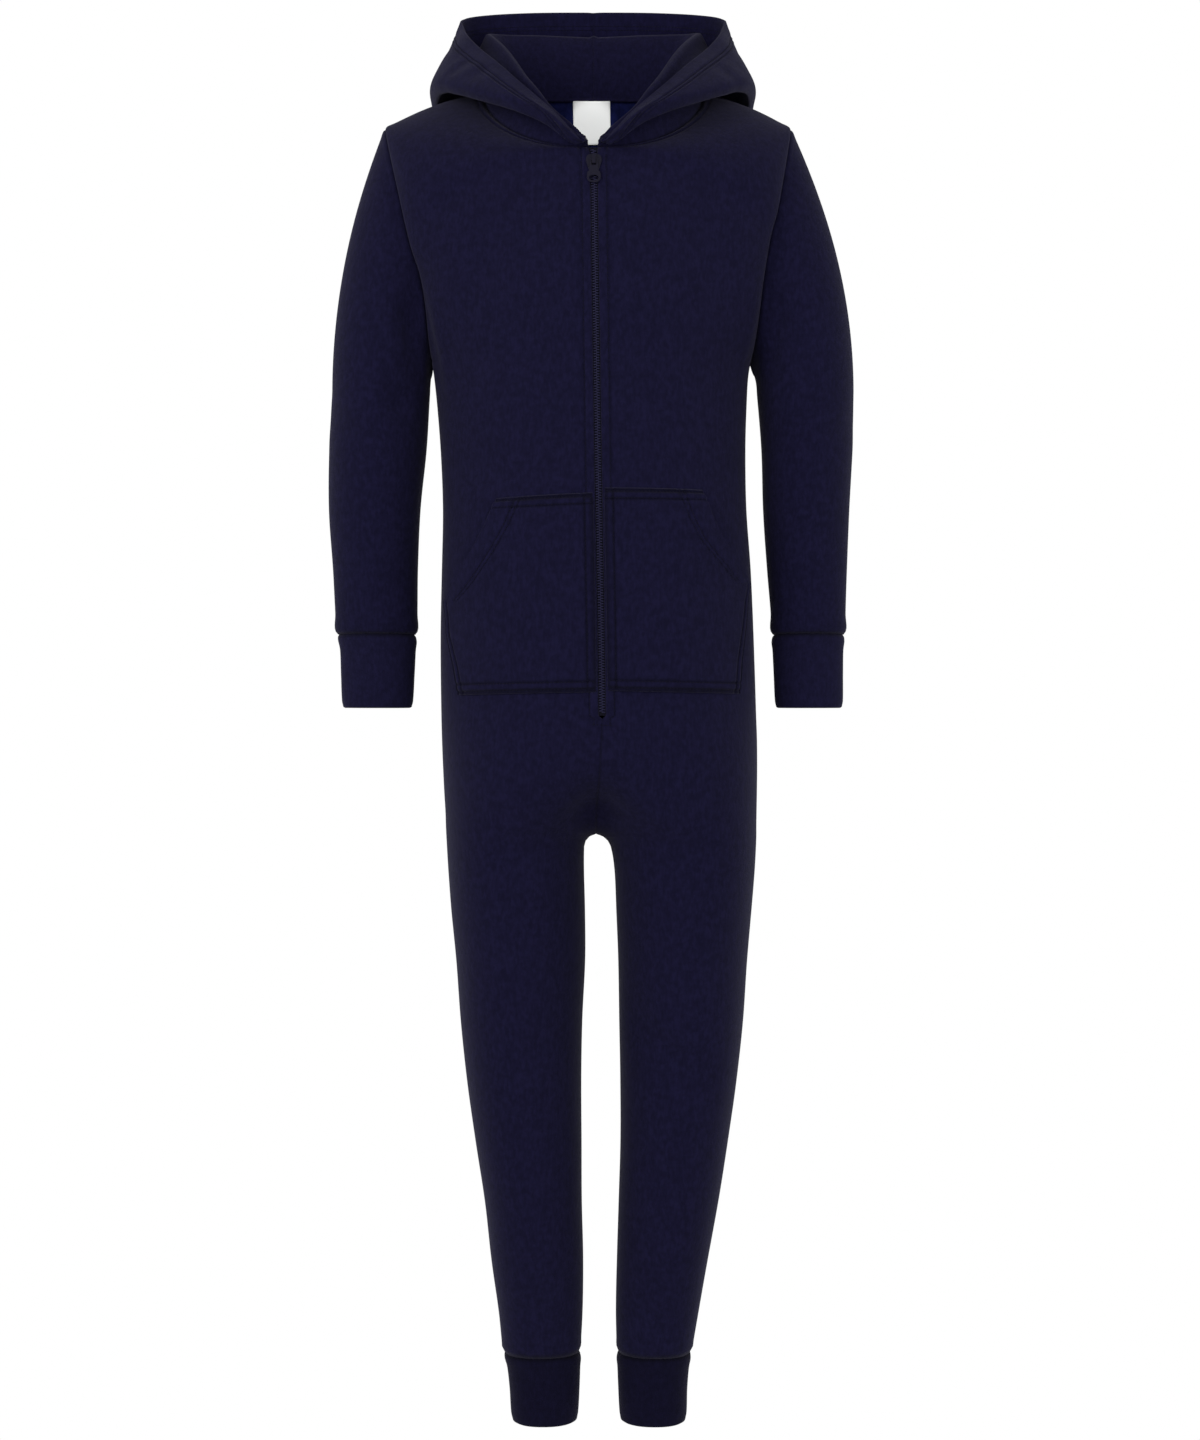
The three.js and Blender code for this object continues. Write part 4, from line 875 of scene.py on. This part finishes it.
def front_relief(piece):
    """A front panel's seams, its folded edge beside the zip, and the stitched lines along neck and zip."""
    distance, grid = piece["distance"], piece["grid"]
    beside_zip = smooth((grid[:, :1, 2] - ZIP_BOTTOM_Z) / 3 + 1) * (np.arange(len(grid)) >= NECK_ROW)[:, None]
    on_neck = (np.arange(len(grid)) < NECK_ROW)[:, None] * 1.0
    below = 1 - np.maximum(beside_zip, on_neck)
    first = distance["first"]
    seam = CENTRE_SEAM_DEPTH * bell(first, 0, SEAM_WIDTH) - 0.15 * bell(first, 5, 3)
    relief = sewn_relief(distance, ("top", "last", "bottom")) + seam * below
    welt = -0.9 * (1 - smooth((first - ZIP_TOPSTITCH + 1) / 2)) + STITCH_DIP * bell(first, ZIP_TOPSTITCH, 1.1)
    band = -0.9 * (1 - smooth((first - NECK_TOPSTITCH + 1) / 2)) + STITCH_DIP * bell(first, NECK_TOPSTITCH, 1.1)
    band = band + SEAM_DEPTH * bell(first, 0, SEAM_WIDTH)
    return relief + welt * beside_zip + band * on_neck


def back_relief(piece):
    """A back panel's seams and the stitched line beside the neckline."""
    distance, rows = piece["distance"], len(piece["grid"])
    on_neck = (np.arange(rows) < NECK_ROW)[:, None] * 1.0
    first = distance["first"]
    relief = sewn_relief(distance, ("top", "last", "bottom", "first"))
    return relief + on_neck * STITCH_DIP * bell(first, NECK_TOPSTITCH, 1.1)


def sleeve_relief(piece):
    """A sleeve's seams and the slight fullness where its cloth is eased into the cuff."""
    return sewn_relief(piece["distance"], ("top", "bottom")) - 0.9 * bell(piece["distance"]["bottom"], 8, 6)


def cuff_relief(piece):
    """A cuff's seam, a shallow step in beside it and a low swell under it."""
    distance = piece["distance"]
    step = CUFF_STEP * (1 - smooth(distance["top"] / 7))
    return step + SEAM_DEPTH * bell(distance["top"], 0, SEAM_WIDTH) - 0.5 * bell(distance["top"], 7, 4)


def hood_relief(piece):
    """A hood half's neck and centre seams, and the hem along its face edge with two stitched lines."""
    distance = piece["distance"]
    hem = -0.55 * (1 - smooth((distance["last"] - HOOD_HEM - 1) / 2))
    dips = sum(STITCH_DIP * bell(distance["last"], line, 1.0) for line in HOOD_STITCHES)
    centre = SEAM_DEPTH * bell(distance["bottom"], 0, SEAM_WIDTH) - 0.3 * bell(distance["bottom"], 5, 3)
    return SEAM_DEPTH * bell(distance["first"], 0, SEAM_WIDTH) + centre + hem + dips


def pocket_relief(piece):
    """A pocket half: its sewn edges pressed down on the panel, and its stitched lines."""
    distance, rows = piece["distance"], len(piece["grid"])
    row = (POCKET_EDGE_ROWS - 1) * crowded_ends(rows)[:, None]
    slanted = 1 - smooth(row - (SLANT_ROWS - 0.5))
    sewn = 0
    for edge, mask in (("top", 1), ("bottom", 1), ("first", 1), ("last", 1 - slanted)):
        sewn = sewn + mask * bell(distance[edge], 0, 2.6)
    relief = 1.0 * np.minimum(sewn, 1.3)
    for edge, lines in (("top", POCKET_STITCHES), ("bottom", POCKET_STITCHES), ("first", (ZIP_TOPSTITCH,))):
        for line in lines:
            relief = relief + STITCH_DIP * bell(distance[edge], line, 1.1)
    for line in POCKET_STITCHES:
        relief = relief + (1 - slanted) * STITCH_DIP * bell(distance["last"], line, 1.1)
    for line in SLANT_STITCHES:
        relief = relief + slanted * STITCH_DIP * bell(distance["last"], line, 1.1)
    facing = -0.4 * slanted * (1 - smooth((distance["last"] - SLANT_STITCHES[1]) / 3))
    return relief + facing


NECK_ROW = (YOKE_ROWS - 1) // 2
NECK_TOPSTITCH = 6
ZIP_TOPSTITCH = 6.5
HOOD_HEM = 15.5
HOOD_STITCHES = (11.5, 15)
POCKET_STITCHES = (1.8, 8.2)
SLANT_STITCHES = (18, 22.5)
SLANT_ROWS = 4
POCKET_EDGE_ROWS = 8
# Painted shade: the seam or stitch relief, in millimetres, at which the painted shade is full
PAINTED_SEAM_SHADE_FULL_RELIEF = 1.1

pieces = {}
for side in SIDES:
    for facing in FACINGS:
        pieces[f"{facing}_{side}"] = dict(grid=panel(side, facing), sign=outward(side, facing))
    turned = outward(side, "front")
    pieces[f"sleeve_{side}"] = dict(grid=sleeve(side), sign=turned, tube=True)
    pieces[f"wrist_cuff_{side}"] = dict(grid=wrist_cuff(side), sign=turned, tube=True, wall=CUFF_WALL)
    pieces[f"ankle_cuff_{side}"] = dict(grid=ankle_cuff(side), sign=turned, tube=True, wall=CUFF_WALL)
    pieces[f"hood_{side}"] = dict(grid=hood(side), sign=turned)
    pieces[f"pocket_{side}"] = dict(grid=pocket(side), sign=turned)
RELIEF = {
    "front": front_relief,
    "back": back_relief,
    "sleeve": sleeve_relief,
    "wrist": cuff_relief,
    "ankle": cuff_relief,
    "hood": hood_relief,
    "pocket": pocket_relief,
}
for piece in pieces.values():
    piece.setdefault("tube", False)
    piece.setdefault("wall", WALL)
    piece["normals"] = unit_normals(piece["grid"], piece["tube"], piece["sign"])
share_seam_normals({name: piece for name, piece in pieces.items() if "pocket" not in name})
for name, piece in pieces.items():
    kind = name.split("_")[0]
    direction = piece.get("shared", piece["normals"])
    formed = piece["grid"] - direction * fold_depth(piece["grid"])[..., None]
    piece["distance"] = edge_distances(formed)
    relief = RELIEF[kind](piece)
    # Painted shade in seams and stitched lines: the relief, held between 0 and 1, later darkens the knit colour
    piece["painted_seam_shade"] = np.clip(relief / PAINTED_SEAM_SHADE_FULL_RELIEF, 0, 1)
    depth = crease_depth(formed) + unevenness(formed) + relief
    piece["outer"] = formed - direction * depth[..., None]
    piece["out"] = unit_normals(piece["outer"], piece["tube"], piece["sign"])
    swell = np.zeros(formed.shape[:2])
    thick = np.full(formed.shape[:2], piece["wall"])
    if kind == "front":
        row = np.arange(len(formed))
        swell[:, 0] = 0.5 * WALL * ((row > NECK_ROW) & (formed[:, 0, 2] > ZIP_BOTTOM_Z))
    elif kind in ("wrist", "ankle"):
        swell[-1] = 0.45 * CUFF_WALL
    elif kind == "hood":
        swell[:, -1] = 0.5 * WALL
        thick = thick + 0.9 * (1 - smooth((piece["distance"]["last"] - HOOD_HEM - 1) / 2))
    elif kind == "pocket":
        swell[:] = 0.45 * WALL
    piece["swell"] = swell
    piece["inner"] = piece["outer"] - direction * thick[..., None]


def nodes_of(material):
    """The material's node tree with its shader, ready for more nodes."""
    material.use_nodes = True
    tree = material.node_tree
    return tree, tree.nodes["Principled BSDF"]


def add_node(tree, kind, settings=None, **inputs):
    """A node with its settings and socket values set by name."""
    node = tree.nodes.new(kind)
    for key, value in (settings or {}).items():
        setattr(node, key, value)
    for key, value in inputs.items():
        node.inputs[key.replace("_", " ")].default_value = value
    return node


def bumped(tree, height, strength, distance, before=None):
    """A bump node that reads a height, stacked on another bump where one is given."""
    bump = add_node(tree, "ShaderNodeBump", None, Strength=strength, Distance=distance)
    tree.links.new(height, bump.inputs["Height"])
    if before is not None:
        tree.links.new(before.outputs["Normal"], bump.inputs["Normal"])
    return bump


TONE_SPREAD = (0.15, 0.36)
# Painted shade: the knit colour is multiplied by this tone at the bottom of a seam or stitched line
PAINTED_SEAM_SHADE_TONE = 0.52


def knit_material(name, dark, light, wale, sheen, pile):
    """Brushed knit: columns and rows of stitches as two crossed waves on the cloth's own UV map, a fuzzy
    pile of fine noise, broader mottling in tone and height, a soft sheen, and painted shade: a darker
    colour down in the seams and stitched lines, standing in for the shade in those grooves."""
    material = bpy.data.materials.new(name)
    tree, shader = nodes_of(material)
    cut = add_node(tree, "ShaderNodeUVMap", {"uv_map": "cut"})
    place = add_node(tree, "ShaderNodeTexCoord")
    heights = []
    for direction, pitch in (("X", wale), ("Y", 0.8 * wale)):
        wave = add_node(tree, "ShaderNodeTexWave", {"bands_direction": direction}, Scale=0.314 / pitch,
                        Distortion=1.6, Detail=1.0, Detail_Scale=2.0)
        tree.links.new(cut.outputs["UV"], wave.inputs["Vector"])
        heights.append(wave.outputs["Fac"])
    knit = add_node(tree, "ShaderNodeMath", {"operation": "MULTIPLY"})
    tree.links.new(heights[0], knit.inputs[0])
    tree.links.new(heights[1], knit.inputs[1])
    fuzz = add_node(tree, "ShaderNodeTexNoise", None, Scale=1500.0, Detail=3.0, Roughness=0.65)
    mottle = add_node(tree, "ShaderNodeTexNoise", None, Scale=190.0, Detail=4.0, Roughness=0.6)
    streak = add_node(tree, "ShaderNodeTexNoise", None, Scale=420.0, Detail=3.0, Roughness=0.6)
    drawn_out = add_node(tree, "ShaderNodeMapping", None, Scale=(1.0, 1.0, 0.35))
    tree.links.new(place.outputs["Object"], drawn_out.inputs["Vector"])
    tree.links.new(drawn_out.outputs["Vector"], streak.inputs["Vector"])
    for noise in (fuzz, mottle):
        tree.links.new(place.outputs["Object"], noise.inputs["Vector"])
    knit_bump = bumped(tree, knit.outputs[0], 0.35, 0.00025)
    pile_bump = bumped(tree, fuzz.outputs["Fac"], pile, 0.0005, knit_bump)
    soft_bump = bumped(tree, mottle.outputs["Fac"], 0.35, 0.0009, pile_bump)
    tree.links.new(soft_bump.outputs["Normal"], shader.inputs["Normal"])
    blend = add_node(tree, "ShaderNodeMixRGB")
    blend.inputs["Color1"].default_value = (*dark, 1)
    blend.inputs["Color2"].default_value = (*light, 1)
    tones = add_node(tree, "ShaderNodeMath", {"operation": "MULTIPLY"})
    tree.links.new(mottle.outputs["Fac"], tones.inputs[0])
    tree.links.new(streak.outputs["Fac"], tones.inputs[1])
    spread = add_node(tree, "ShaderNodeMapRange")
    for socket, value in zip(("From Min", "From Max"), TONE_SPREAD):
        spread.inputs[socket].default_value = value
    tree.links.new(tones.outputs[0], spread.inputs["Value"])
    tree.links.new(spread.outputs[0], blend.inputs["Fac"])
    # Painted shade: the seam and stitch attribute darkens the base colour by the set tone
    sewn = add_node(tree, "ShaderNodeAttribute", {"attribute_name": "painted_seam_shade"})
    shaded = add_node(tree, "ShaderNodeMixRGB", {"blend_type": "MULTIPLY"})
    shaded.inputs["Color2"].default_value = (PAINTED_SEAM_SHADE_TONE, PAINTED_SEAM_SHADE_TONE, PAINTED_SEAM_SHADE_TONE, 1)
    tree.links.new(sewn.outputs["Fac"], shaded.inputs["Fac"])
    tree.links.new(blend.outputs[0], shaded.inputs["Color1"])
    tree.links.new(shaded.outputs[0], shader.inputs["Base Color"])
    shader.inputs["Roughness"].default_value = 0.95
    shader.inputs["Specular IOR Level"].default_value = 0.12
    shader.inputs["Sheen Weight"].default_value = sheen
    shader.inputs["Sheen Roughness"].default_value = 0.45
    shader.inputs["Sheen Tint"].default_value = (0.62, 0.6, 0.8, 1)
    return material


def solid_material(name, colour, roughness, metallic=0.0, specular=0.5, grain=700.0, depth=0.0001, sheen=0.0):
    """Thread, coil or enamel: one colour with slight mottling, and a fine grain in its height."""
    material = bpy.data.materials.new(name)
    tree, shader = nodes_of(material)
    place = add_node(tree, "ShaderNodeTexCoord")
    noise = add_node(tree, "ShaderNodeTexNoise", None, Scale=grain, Detail=3.0, Roughness=0.55)
    tree.links.new(place.outputs["Object"], noise.inputs["Vector"])
    blend = add_node(tree, "ShaderNodeMixRGB")
    blend.inputs["Color1"].default_value = (*[0.8 * c for c in colour], 1)
    blend.inputs["Color2"].default_value = (*[min(1.2 * c, 1) for c in colour], 1)
    tree.links.new(noise.outputs["Fac"], blend.inputs["Fac"])
    tree.links.new(blend.outputs[0], shader.inputs["Base Color"])
    bump = bumped(tree, noise.outputs["Fac"], 0.5, depth)
    tree.links.new(bump.outputs["Normal"], shader.inputs["Normal"])
    shader.inputs["Roughness"].default_value = roughness
    shader.inputs["Metallic"].default_value = metallic
    shader.inputs["Specular IOR Level"].default_value = specular
    shader.inputs["Sheen Weight"].default_value = sheen
    return material


def woven_material(name, dark, light, pitch, roughness, sheen):
    """A plain weave: two crossed waves on object coordinates decide both the tone and the height."""
    material = bpy.data.materials.new(name)
    tree, shader = nodes_of(material)
    place = add_node(tree, "ShaderNodeTexCoord")
    outputs = []
    for direction in ("X", "Z"):
        wave = add_node(tree, "ShaderNodeTexWave", {"bands_direction": direction}, Scale=0.314 / pitch,
                        Distortion=0.8, Detail=1.0)
        tree.links.new(place.outputs["Object"], wave.inputs["Vector"])
        outputs.append(wave.outputs["Fac"])
    weave = add_node(tree, "ShaderNodeMath", {"operation": "MULTIPLY"})
    tree.links.new(outputs[0], weave.inputs[0])
    tree.links.new(outputs[1], weave.inputs[1])
    blend = add_node(tree, "ShaderNodeMixRGB")
    blend.inputs["Color1"].default_value = (*dark, 1)
    blend.inputs["Color2"].default_value = (*light, 1)
    tree.links.new(weave.outputs[0], blend.inputs["Fac"])
    tree.links.new(blend.outputs[0], shader.inputs["Base Color"])
    bump = bumped(tree, weave.outputs[0], 0.5, 0.00015)
    tree.links.new(bump.outputs["Normal"], shader.inputs["Normal"])
    shader.inputs["Roughness"].default_value = roughness
    shader.inputs["Specular IOR Level"].default_value = 0.3
    shader.inputs["Sheen Weight"].default_value = sheen
    return material


FLEECE = knit_material("navy_fleece", (0.0042, 0.0036, 0.0195), (0.0078, 0.0068, 0.0320), 0.0011, 0.09, 0.45)
LINING = knit_material("navy_fleece_inside", (0.0040, 0.0060, 0.0420), (0.0075, 0.0105, 0.0700), 0.0014, 0.12, 0.7)
HOOD_LINING = knit_material("navy_hood_inside", (0.0040, 0.0034, 0.0190), (0.0070, 0.0060, 0.0310), 0.0014, 0.08, 0.5)
CUFF_KNIT = knit_material("navy_cuff", (0.0050, 0.0043, 0.0210), (0.0082, 0.0072, 0.0320), 0.0016, 0.10, 0.3)
# The ankle cuffs' knit is a darker copy of the cuff knit, with less sheen: painted shade for the dimmer light at the
# ankles
ANKLE_KNIT_PAINTED_SHADE = knit_material("navy_ankle_cuff", (0.0026, 0.0021, 0.0125), (0.0042, 0.0035, 0.0185), 0.0016, 0.06, 0.3)
# The thread is navy, and its colour is set darker than the cloth's as painted shade for the holes at the stitch points
THREAD_WITH_PAINTED_SHADE = solid_material("navy_thread_painted_shade", (0.0032, 0.0028, 0.0130), 0.6, specular=0.12)
TAPE = woven_material("zip_tape_weave", (0.0020, 0.0018, 0.0090), (0.0048, 0.0042, 0.0190), 0.0007, 0.85, 0.02)
# The coil is navy nylon, and its colour is set lighter than the cloth's as painted highlight on the teeth
COIL_WITH_PAINTED_HIGHLIGHT = solid_material("zip_coil_nylon_painted_highlight", (0.0150, 0.0140, 0.0460), 0.4, specular=0.22)
ENAMEL = solid_material("zip_enamel", (0.0075, 0.0066, 0.0180), 0.28, specular=0.2, grain=500.0, depth=0.00005)
SATIN = woven_material("label_satin", (0.90, 0.91, 0.90), (0.97, 0.98, 0.97), 0.0005, 0.6, 0.2)


def half_area(mesh):
    """Half the surface of a closed wall in square metres, which is the area of its cloth."""
    areas = np.empty(len(mesh.polygons))
    mesh.polygons.foreach_get("area", areas)
    return float(areas.sum()) / 2


FABRICS = {"wrist": (CUFF_KNIT, LINING), "ankle": (ANKLE_KNIT_PAINTED_SHADE, LINING), "hood": (FLEECE, HOOD_LINING)}
cloth = {}
for name, piece in pieces.items():
    kind = name.split("_")[0]
    fabrics = FABRICS.get(kind, (FLEECE, LINING))
    made = cloth_object("cloth_" + name, piece["outer"], piece["inner"], piece["tube"], piece["sign"],
                        fabrics, piece["swell"], piece["painted_seam_shade"])
    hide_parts(name)
    cloth[name] = made

# Zip: everything follows the line midway between the two folded edges of the front
ZIP_END_ROW = int(np.searchsorted(-pieces["front_left"]["grid"][:, 0, 2], -ZIP_BOTTOM_Z))
TAPE_WIDTH = 13
TAPE_THICK = 0.8
TAPE_LIFT = 0.35
TAPE_COLUMNS = 12
COIL_PITCH = 2.2
COIL_SINK = 1.0
COIL_REACH = 2.5
COIL_RADIUS = 0.68


def tape(side):
    """A zip tape: from beside the centre, across behind the folded edge of its front panel, a strip whose
    front lies just behind the panel's inner face."""
    piece = pieces[f"front_{side}"]
    rows = slice(NECK_ROW, ZIP_END_ROW + 1)
    edge = piece["inner"][rows, 0]
    far, _ = inset(piece["inner"], piece["out"], "first", TAPE_WIDTH - ZIP_HALF)
    toward = 1 if side == "left" else -1
    middle = edge + np.array([toward * (ZIP_HALF - 0.2), 0, 0])
    lift = np.array([0, TAPE_LIFT, 0])
    corners = np.stack([middle, edge, far[rows]], axis=1) + lift
    t = np.linspace(0, 2, TAPE_COLUMNS)
    index = np.minimum(t.astype(int), 1)
    part = (t - index)[None, :, None]
    front = corners[:, index] * (1 - part) + corners[:, index + 1] * part
    return front, front + np.array([0, TAPE_THICK, 0])


def coil_elements(middle):
    """The coil's teeth: for each side a slanted capsule, long across the zip, repeated down its middle
    line. A capsule's radius at t from -1 to 1 is the fourth root of 1 less t to the fourth power."""
    reach = np.concatenate([[0], np.cumsum(np.linalg.norm(np.diff(middle, axis=0), axis=1))])
    rings, sides = 7, 8
    t = np.linspace(-0.995, 0.995, rings)
    radius = (1 - t**4) ** 0.25
    turn = 2 * np.pi * np.arange(sides) / sides
    unit = np.stack(np.broadcast_arrays(t[:, None], radius[:, None] * np.cos(turn), radius[:, None] * np.sin(turn)), -1)
    ring = np.arange(rings - 1)[:, None] * sides
    around = np.arange(sides)[None]
    quads = np.stack([ring + around, ring + (around + 1) % sides,
                      ring + sides + (around + 1) % sides, ring + sides + around], axis=-1).reshape(-1, 4)
    vertices, faces, base = [], [], 0
    for sign, shift in ((-1, 0), (1, 0.5)):
        place = np.arange(COIL_PITCH * (1 + shift), reach[-1] - COIL_PITCH, COIL_PITCH)
        centre = np.stack([np.interp(place, reach, middle[:, k]) for k in range(3)], axis=1)
        ahead = np.stack([np.interp(place + 1, reach, middle[:, k]) for k in range(3)], axis=1)
        down = (ahead - centre) / np.linalg.norm(ahead - centre, axis=1, keepdims=True)
        beside = np.array([1, 0, 0]) - down * down[:, :1]
        beside = beside / np.linalg.norm(beside, axis=1, keepdims=True)
        forward = np.cross(down, beside)
        half = (COIL_REACH + 0.5) / 2
        centre = centre + beside * sign * (COIL_REACH - half) + np.array([0, COIL_SINK, 0])
        slant = beside + down * 0.12 * sign
        points = (centre[:, None, None] + unit[None, ..., :1] * half * slant[:, None, None]
                  + unit[None, ..., 1:2] * COIL_RADIUS * down[:, None, None]
                  + unit[None, ..., 2:] * COIL_RADIUS * 1.2 * forward[:, None, None])
        vertices.append(points.reshape(-1, 3))
        starts = base + np.arange(len(points)) * rings * sides
        faces.append((quads[None] + starts[:, None, None]).reshape(-1, 4))
        base += len(points) * rings * sides
    return np.concatenate(vertices), np.concatenate(faces)[:, ::-1]


for side in SIDES:
    front, back = tape(side)
    made = cloth_object(f"zip_tape_{side}_woven", front, back, False, outward(side, "front"), (TAPE, TAPE), 0.2)
    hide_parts(f"zip_tape_{side}")
    cloth[f"zip_tape_{side}"] = made
edges = [pieces[f"front_{side}"]["outer"][NECK_ROW:ZIP_END_ROW + 1, 0] for side in SIDES]
coil_points, coil_faces = coil_elements((edges[0] + edges[1]) / 2)
coil = plain_object("zip_coil", coil_points, coil_faces, COIL_WITH_PAINTED_HIGHLIGHT)
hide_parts("zip_chain")

# Neck label: bare, sewn on by its top edge and bending a little away from the back at its free end
LABEL_X = -5.7
LABEL_WIDTH = 32
LABEL_TOP = 21.5
LABEL_BOTTOM = -14
LABEL_THICK = 0.6
LABEL_GAP = 1.7
LABEL_CURL = 1.6
LABEL_GRID = 24


def label():
    """A strip that follows the inside of the centre back: straight down at a gap, with a slight dip
    across it and its free end curling forward by the square of the way down."""
    back = pieces["back_left"]["inner"][NECK_ROW:NECK_ROW + 24, 0]
    down = np.linspace(0, 1, LABEL_GRID)[:, None]
    across = np.linspace(-0.5, 0.5, LABEL_GRID)[None]
    z = LABEL_TOP + (LABEL_BOTTOM - LABEL_TOP) * down
    y = np.interp(-z, -back[:, 2], back[:, 1]) - LABEL_GAP
    curl = LABEL_CURL * down**2 + 0.7 * np.sin(2.4 * down + 0.5) * (across * 2) ** 2
    x = LABEL_X + LABEL_WIDTH * across + 0.5 * down
    far = stacked(x, y - curl, z)
    return far - np.array([0, LABEL_THICK, 0]), far


front, back = label()
label_object = cloth_object("neck_label_satin", front, back, False, 1, (SATIN, SATIN), 0.2)
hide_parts("neck_label")

# Sewing: rows of single stitches that follow the cloth
SLANT_SHARE = float(np.interp(SLANT_ROWS / (POCKET_EDGE_ROWS - 1), crowded_ends(401), np.linspace(0, 1, 401)))
ZIP_STITCH_END = int(np.searchsorted(-pieces["front_left"]["grid"][:, 0, 2], -ZIP_BOTTOM_Z + 5))


def sewing(name):
    """All the stitch rows that belong on one piece, as strands."""
    piece = pieces[name]
    kind = name.split("_")[0]
    outer, inner, out = piece["outer"], piece["inner"], piece["out"]
    last_row = len(outer) - 1
    strands = []

    def row(edge, distance, start=0.0, end=1.0, surface=outer, facing=out):
        strands.append(strand(*inset(surface, facing, edge, distance, start, end)))

    if kind in ("front", "back"):
        row("first", NECK_TOPSTITCH, 0, NECK_ROW / last_row)
    if kind == "front":
        row("first", ZIP_TOPSTITCH, (NECK_ROW + 1) / last_row, ZIP_STITCH_END / last_row)
        line = outer[ZIP_STITCH_END]
        beside = edge_distances(outer)["first"][ZIP_STITCH_END] < ZIP_TOPSTITCH + ZIP_HALF
        strands.append(strand(line[beside], out[ZIP_STITCH_END][beside]))
    if kind == "hood":
        for distance in HOOD_STITCHES:
            row("last", distance, 0.03)
            row("last", distance, 0.03, 1.0, inner, -out)
    if kind == "pocket":
        for distance in POCKET_STITCHES:
            row("top", distance, 0.02, 0.985)
            row("bottom", distance, 0.02, 0.985)
            row("last", distance, SLANT_SHARE, 0.99)
        for distance in SLANT_STITCHES:
            row("last", distance, 0.01, SLANT_SHARE)
        row("first", ZIP_TOPSTITCH, 0.02, 0.98)
    return strands


stitched = {}
for name in pieces:
    strands = sewing(name)
    if strands:
        stitched[name] = thread_object("stitches_" + name, strands, THREAD_WITH_PAINTED_SHADE)

# The slider and its pull keep their own solids, with their edges broken and an enamel finish
for name in ("zip_slider", "zip_pull"):
    part = bpy.data.objects[name]
    part.data.materials.clear()
    part.data.materials.append(ENAMEL)
    bevel = part.modifiers.new("soft edges", "BEVEL")
    bevel.width = 0.22 * MM
    bevel.segments = 2
    bevel.limit_method = "ANGLE"

for made in [*cloth.values(), *stitched.values(), coil, label_object]:
    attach(made, GARMENT)
for name, piece in pieces.items():
    made = cloth[name]
    half_area(made.data)

# Camera: where the photograph was taken from, level, on the long side's field of view
CAMERA_DISTANCE = 2.125
camera_data = bpy.data.cameras.new("camera")
camera_data.sensor_width = 36
camera_data.lens = 62.5
camera = bpy.data.objects.new("camera", camera_data)
camera.location = (0.0017, -CAMERA_DISTANCE, -0.5185)
camera.rotation_euler = (math.radians(90), 0, 0)
bpy.context.collection.objects.link(camera)
bpy.context.scene.camera = camera

# Light: a white surround, dimmer from below, with broad soft lamps in front and at both sides
world = bpy.data.worlds.new("white surround")
bpy.context.scene.world = world
world.use_nodes = True
sky = world.node_tree
direction = sky.nodes.new("ShaderNodeTexCoord")
split = sky.nodes.new("ShaderNodeSeparateXYZ")
ramp = sky.nodes.new("ShaderNodeValToRGB")
SKY = ((0.17, 0.2), (0.335, 1.0), (0.66, 1.0), (0.82, 0.2))
for place, grey in SKY[2:]:
    ramp.color_ramp.elements.new(place)
for element, (place, grey) in zip(ramp.color_ramp.elements, SKY):
    element.position = place
    element.color = (grey, grey, grey, 1)
lift = sky.nodes.new("ShaderNodeMath")
lift.operation = "MULTIPLY_ADD"
lift.inputs[1].default_value = 0.5
lift.inputs[2].default_value = 0.5
sky.links.new(direction.outputs["Generated"], split.inputs[0])
sky.links.new(split.outputs["Z"], lift.inputs[0])
sky.links.new(lift.outputs[0], ramp.inputs["Fac"])
sky.links.new(ramp.outputs["Color"], sky.nodes["Background"].inputs["Color"])
sky.nodes["Background"].inputs["Strength"].default_value = 1.0


def lamp(name, place, target, size, energy, colour=(1, 1, 1)):
    """A square area lamp that faces a target point."""
    data = bpy.data.lights.new(name, "AREA")
    data.size = size
    data.energy = energy
    data.color = colour
    made = bpy.data.objects.new(name, data)
    toward = [t - p for t, p in zip(target, place)]
    flat = math.hypot(toward[0], toward[1])
    made.rotation_euler = (math.atan2(flat, -toward[2]), 0, math.atan2(toward[1], toward[0]) - math.pi / 2)
    made.location = place
    bpy.context.collection.objects.link(made)
    return made


lamp("key", (-1.5, -1.7, 0.4), (0, 0, -0.35), 1.0, 15)
lamp("fill", (1.4, -1.6, 0.1), (0, 0, -0.5), 1.4, 6)
spot_data = bpy.data.lights.new("neck spot", "SPOT")
spot_data.energy = 26
spot_data.spot_size = math.radians(2.6)
spot_data.spot_blend = 0.6
spot_data.shadow_soft_size = 0.004
spot = bpy.data.objects.new("neck spot", spot_data)
spot.location = (-0.0055, -1.0, 0.004)
spot.rotation_euler = (math.radians(90), 0, 0)
spot.visible_camera = False
bpy.context.collection.objects.link(spot)
bpy.context.scene.view_settings.view_transform = "Standard"
